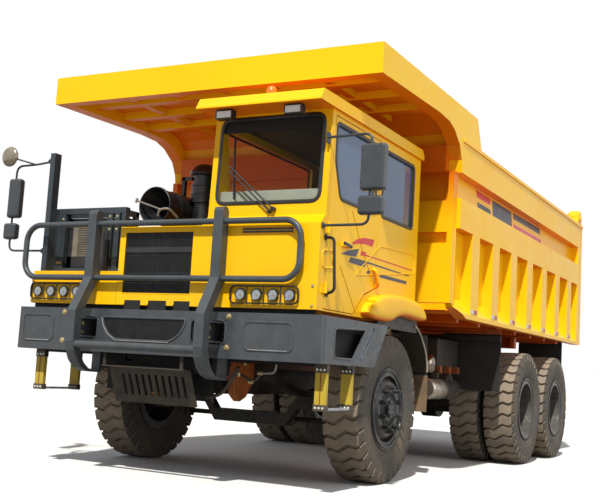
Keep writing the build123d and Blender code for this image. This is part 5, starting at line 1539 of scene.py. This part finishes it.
# Between the wheels: round chromed cover, short bright cylinder with domed ends
cover_section = (
    (0, 0.10), (0.012, 0.108), (0.026, 0.104), (0.045, 0.085), (0.058, 0.055), (0.064, 0.02)
)
cover = lathe(cover_section, placed((1.175, 1.90, 1.135)), leftward, 40)
piece("chrome_cover", [cover], "chrome_soft")
cover_body = [
    bar((0.86, 1.90, 1.135), (1.18, 1.90, 1.135), 0.088, 32),
    block((0.80, 1.75, 1.05), (0.90, 2.05, 1.42)),
]
piece("cover_body", cover_body, "black_steel")
bottle = ((0, 0.09), (0.012, 0.106), (0.03, 0.112), (0.38, 0.112), (0.40, 0.108))
bottle_x, bottle_z = 1.19, 0.862
bottle_shell = lathe(bottle, (bottle_x, aft(1.76), bottle_z), backward, 40)
piece("bright_bottle", [bottle_shell], "bottle_silver")
dark_end = ((0.0, 0.112), (0.01, 0.116), (0.04, 0.116), (0.05, 0.110), (0.46, 0.110), (0.48, 0.09))
dark_parts = [lathe(dark_end, (bottle_x, aft(2.15), bottle_z), backward, 40)]
dark_parts.append(block((0.80, 2.14, 1.055), (1.165, 2.66, 1.265)))
for k in range(6):
    dark_parts.append(block((1.16, 2.18 + 0.085 * k, 1.07), (1.178, 2.205 + 0.085 * k, 1.25)))
piece("bottle_end", dark_parts, "black_steel")
strap = [block((1.16, 1.98, 0.955), (1.24, 2.01, 1.06)), block((0.86, 1.98, 1.05), (1.24, 2.01, 1.065))]
piece("bottle_hanger", strap, "black_steel")

# Under the bumper: spring hangers, fixed lines and their fittings
hanger = prism(
    side_view(((-1.06, 1.02), (-0.66, 1.02), (-0.70, 0.84), (-0.80, 0.72), (-0.90, 0.68), (-0.99, 0.74))),
    0.40,
    0.47,
    0,
)
piece("spring_hangers", both_sides(hanger), "hanger_orange", bevel=0.006)
lines = [
    pipe([(0.20, -1.02, 0.70), (0.40, -1.08, 0.74), (0.56, -1.10, 0.98)], 0.12, 0.017, 10),
    pipe([(0.60, -1.15, 0.92), (0.75, -1.15, 0.86), (0.80, -1.12, 0.95)], 0.05, 0.012, 10),
    pipe([(0.28, -1.05, 0.66), (0.30, -1.10, 0.98)], 0.05, 0.010, 10),
]
piece("front_lines", lines, "black_steel")
pipes = [pipe([(0.98, -1.20, 1.02), (0.97, -1.20, 0.95), (0.84, -1.18, 0.94)], 0.04, 0.011, 10)]
piece("front_pipes", pipes, "rim_silver")
fittings = [
    bar((0.795, -1.18, 0.94), (0.845, -1.18, 0.94), 0.017, 12),
    bar((0.70, -1.16, 0.862), (0.745, -1.16, 0.862), 0.016, 12),
    bar((0.60, -1.16, 0.90), (0.60, -1.16, 0.935), 0.016, 12),
    bar((0.66, -1.17, 0.995), (0.66, -1.17, 1.018), 0.013, 12),
]
piece("brass_fittings", fittings, "zinc")

# Rear flaps: rivets along the clamping strip
rivets = []
for x in np.arange(1.05, 1.68, 0.12):
    rivets += both_sides(dome((x, aft(2.797), 1.495), forward, 0.010, 0.006, 12, 4))
piece("flap_rivets", rivets, "zinc")

# Beneath the body: stringers over the chassis rails, short of the hinge
# The orange of the stringers and cross beam, as of the body's floor, is painted shade.
stringer = block((0.385, 1.15, 1.456), (0.465, 5.60, 1.60))
piece("bed_stringers", both_sides(stringer), "under_orange", "tipping_body", bevel=0.005)
cross_beam = [
    block((0.50, 4.42, 1.425), (1.42, 4.47, 1.60)),
    block((1.36, 4.36, 1.435), (1.42, 4.42, 1.60)),
]
piece(
    "bed_cross_beam",
    both_sides(*cross_beam),
    "under_orange",
    "tipping_body",
    bevel=0.005,
)

# Plates that carry the flaps before the rear wheels
carrier = [
    block((1.57, 2.786, 1.525), (1.70, 2.798, 1.585)), block((1.02, 2.786, 1.525), (1.57, 2.798, 1.548))
]
piece("flap_carriers", both_sides(*carrier), "hanger_orange", bevel=0.002)

# Floor, sky, lamps and camera


def pale_floor():
    """Wide plain floor that the camera sees as white where no shadow falls."""
    half = 60
    mesh = bpy.data.meshes.new("floor")
    mesh.from_pydata(
        [(-half, -half, 0), (half, -half, 0), (half, half, 0), (-half, half, 0)], [], [(0, 1, 2, 3)]
    )
    floor = bpy.data.objects.new("floor", mesh)
    bpy.context.scene.collection.objects.link(floor)
    finish = Finish("floor_pale", 0.9)
    patches = finish.ramp(finish.noise(0.3), 0.3, 0.8)
    seen = finish.mix(patches, srgb(238, 238, 236), srgb(232, 232, 230))
    ray = finish.nodes.new("ShaderNodeLightPath")
    finish.colour(finish.mix(ray.outputs["Is Camera Ray"], srgb(150, 148, 144), seen))
    mesh.materials.append(finish.material)


def sky():
    """Soft even light, and plain white behind the truck wherever the camera, a gloss or a pane sees it."""
    world = bpy.data.worlds.new("studio")
    bpy.context.scene.world = world
    world.use_nodes = True
    nodes, links = world.node_tree.nodes, world.node_tree.links
    nodes.clear()
    seen = nodes.new("ShaderNodeBackground")
    seen.inputs["Color"].default_value = (1, 1, 1, 1)
    seen.inputs["Strength"].default_value = 1.0
    light = nodes.new("ShaderNodeBackground")
    light.inputs["Color"].default_value = (0.86, 0.92, 1.0, 1)
    light.inputs["Strength"].default_value = 0.32
    ray = nodes.new("ShaderNodeLightPath")
    camera_or_gloss = nodes.new("ShaderNodeMath")
    camera_or_gloss.operation = "ADD"
    camera_or_gloss.use_clamp = True
    with_glass = nodes.new("ShaderNodeMath")
    with_glass.operation = "ADD"
    with_glass.use_clamp = True
    blend = nodes.new("ShaderNodeMixShader")
    output = nodes.new("ShaderNodeOutputWorld")
    links.new(ray.outputs["Is Camera Ray"], camera_or_gloss.inputs[0])
    links.new(ray.outputs["Is Glossy Ray"], camera_or_gloss.inputs[1])
    links.new(camera_or_gloss.outputs[0], with_glass.inputs[0])
    links.new(ray.outputs["Is Transmission Ray"], with_glass.inputs[1])
    links.new(with_glass.outputs[0], blend.inputs["Fac"])
    links.new(light.outputs[0], blend.inputs[1])
    links.new(seen.outputs[0], blend.inputs[2])
    links.new(blend.outputs[0], output.inputs["Surface"])


def lamp(name, kind, energy, place, aim, size=1.0, colour=(1, 1, 1)):
    """Lamp at a place, pointing at another."""
    data = bpy.data.lights.new(name, kind)
    data.energy = energy
    data.color = colour
    if kind == "AREA":
        data.size = size
    if kind == "SUN":
        data.angle = size
    light = bpy.data.objects.new(name, data)
    bpy.context.scene.collection.objects.link(light)
    ahead = np.asarray(aim, float) - np.asarray(place, float)
    ahead /= np.linalg.norm(ahead)
    side = np.cross(ahead, upward)
    side /= np.linalg.norm(side)
    up = np.cross(side, ahead)
    turn = Matrix((side, up, -ahead)).transposed().to_4x4()
    light.matrix_world = Matrix.Translation(place) @ turn


def photo_camera():
    """Camera low at the truck's front left corner, looking a little up at the body."""
    camera_place = (4.9095, aft(-8.2300), 0.9891)
    yaw, pitch, roll = radians(27.825), radians(-6.774), radians(3.324)
    focal_px, frame_width_px, frame_height_px = 969.12, 600, 500
    centre_px = (306.40, 254.61)
    back = np.array([sin(yaw) * cos(pitch), -cos(yaw) * cos(pitch), sin(pitch)])
    right = np.array([cos(yaw), sin(yaw), 0])
    up = np.cross(back, right)
    rolled_right = right * cos(roll) + up * sin(roll)
    rolled_up = up * cos(roll) - right * sin(roll)
    data = bpy.data.cameras.new("photo_camera")
    data.sensor_fit = "HORIZONTAL"
    data.sensor_width = 36
    data.lens = focal_px / frame_width_px * data.sensor_width
    data.shift_x = (frame_width_px / 2 - centre_px[0]) / frame_width_px
    data.shift_y = (centre_px[1] - frame_height_px / 2) / frame_width_px
    data.clip_end = 300
    camera = bpy.data.objects.new("photo_camera", data)
    bpy.context.scene.collection.objects.link(camera)
    turn = Matrix((rolled_right, rolled_up, back)).transposed().to_4x4()
    camera.matrix_world = Matrix.Translation(camera_place) @ turn
    bpy.context.scene.camera = camera


pale_floor()
sky()
lamp("key_sun", "SUN", 4.4, (2.6, -8.8, 11.9), (0, 0, 0), radians(1.5), (1.0, 0.97, 0.91))
lamp("side_soft", "AREA", 380, (13, -3, 5), (0, 0.5, 1.6), 7)
photo_camera()
bpy.context.scene.view_settings.view_transform = "Standard"
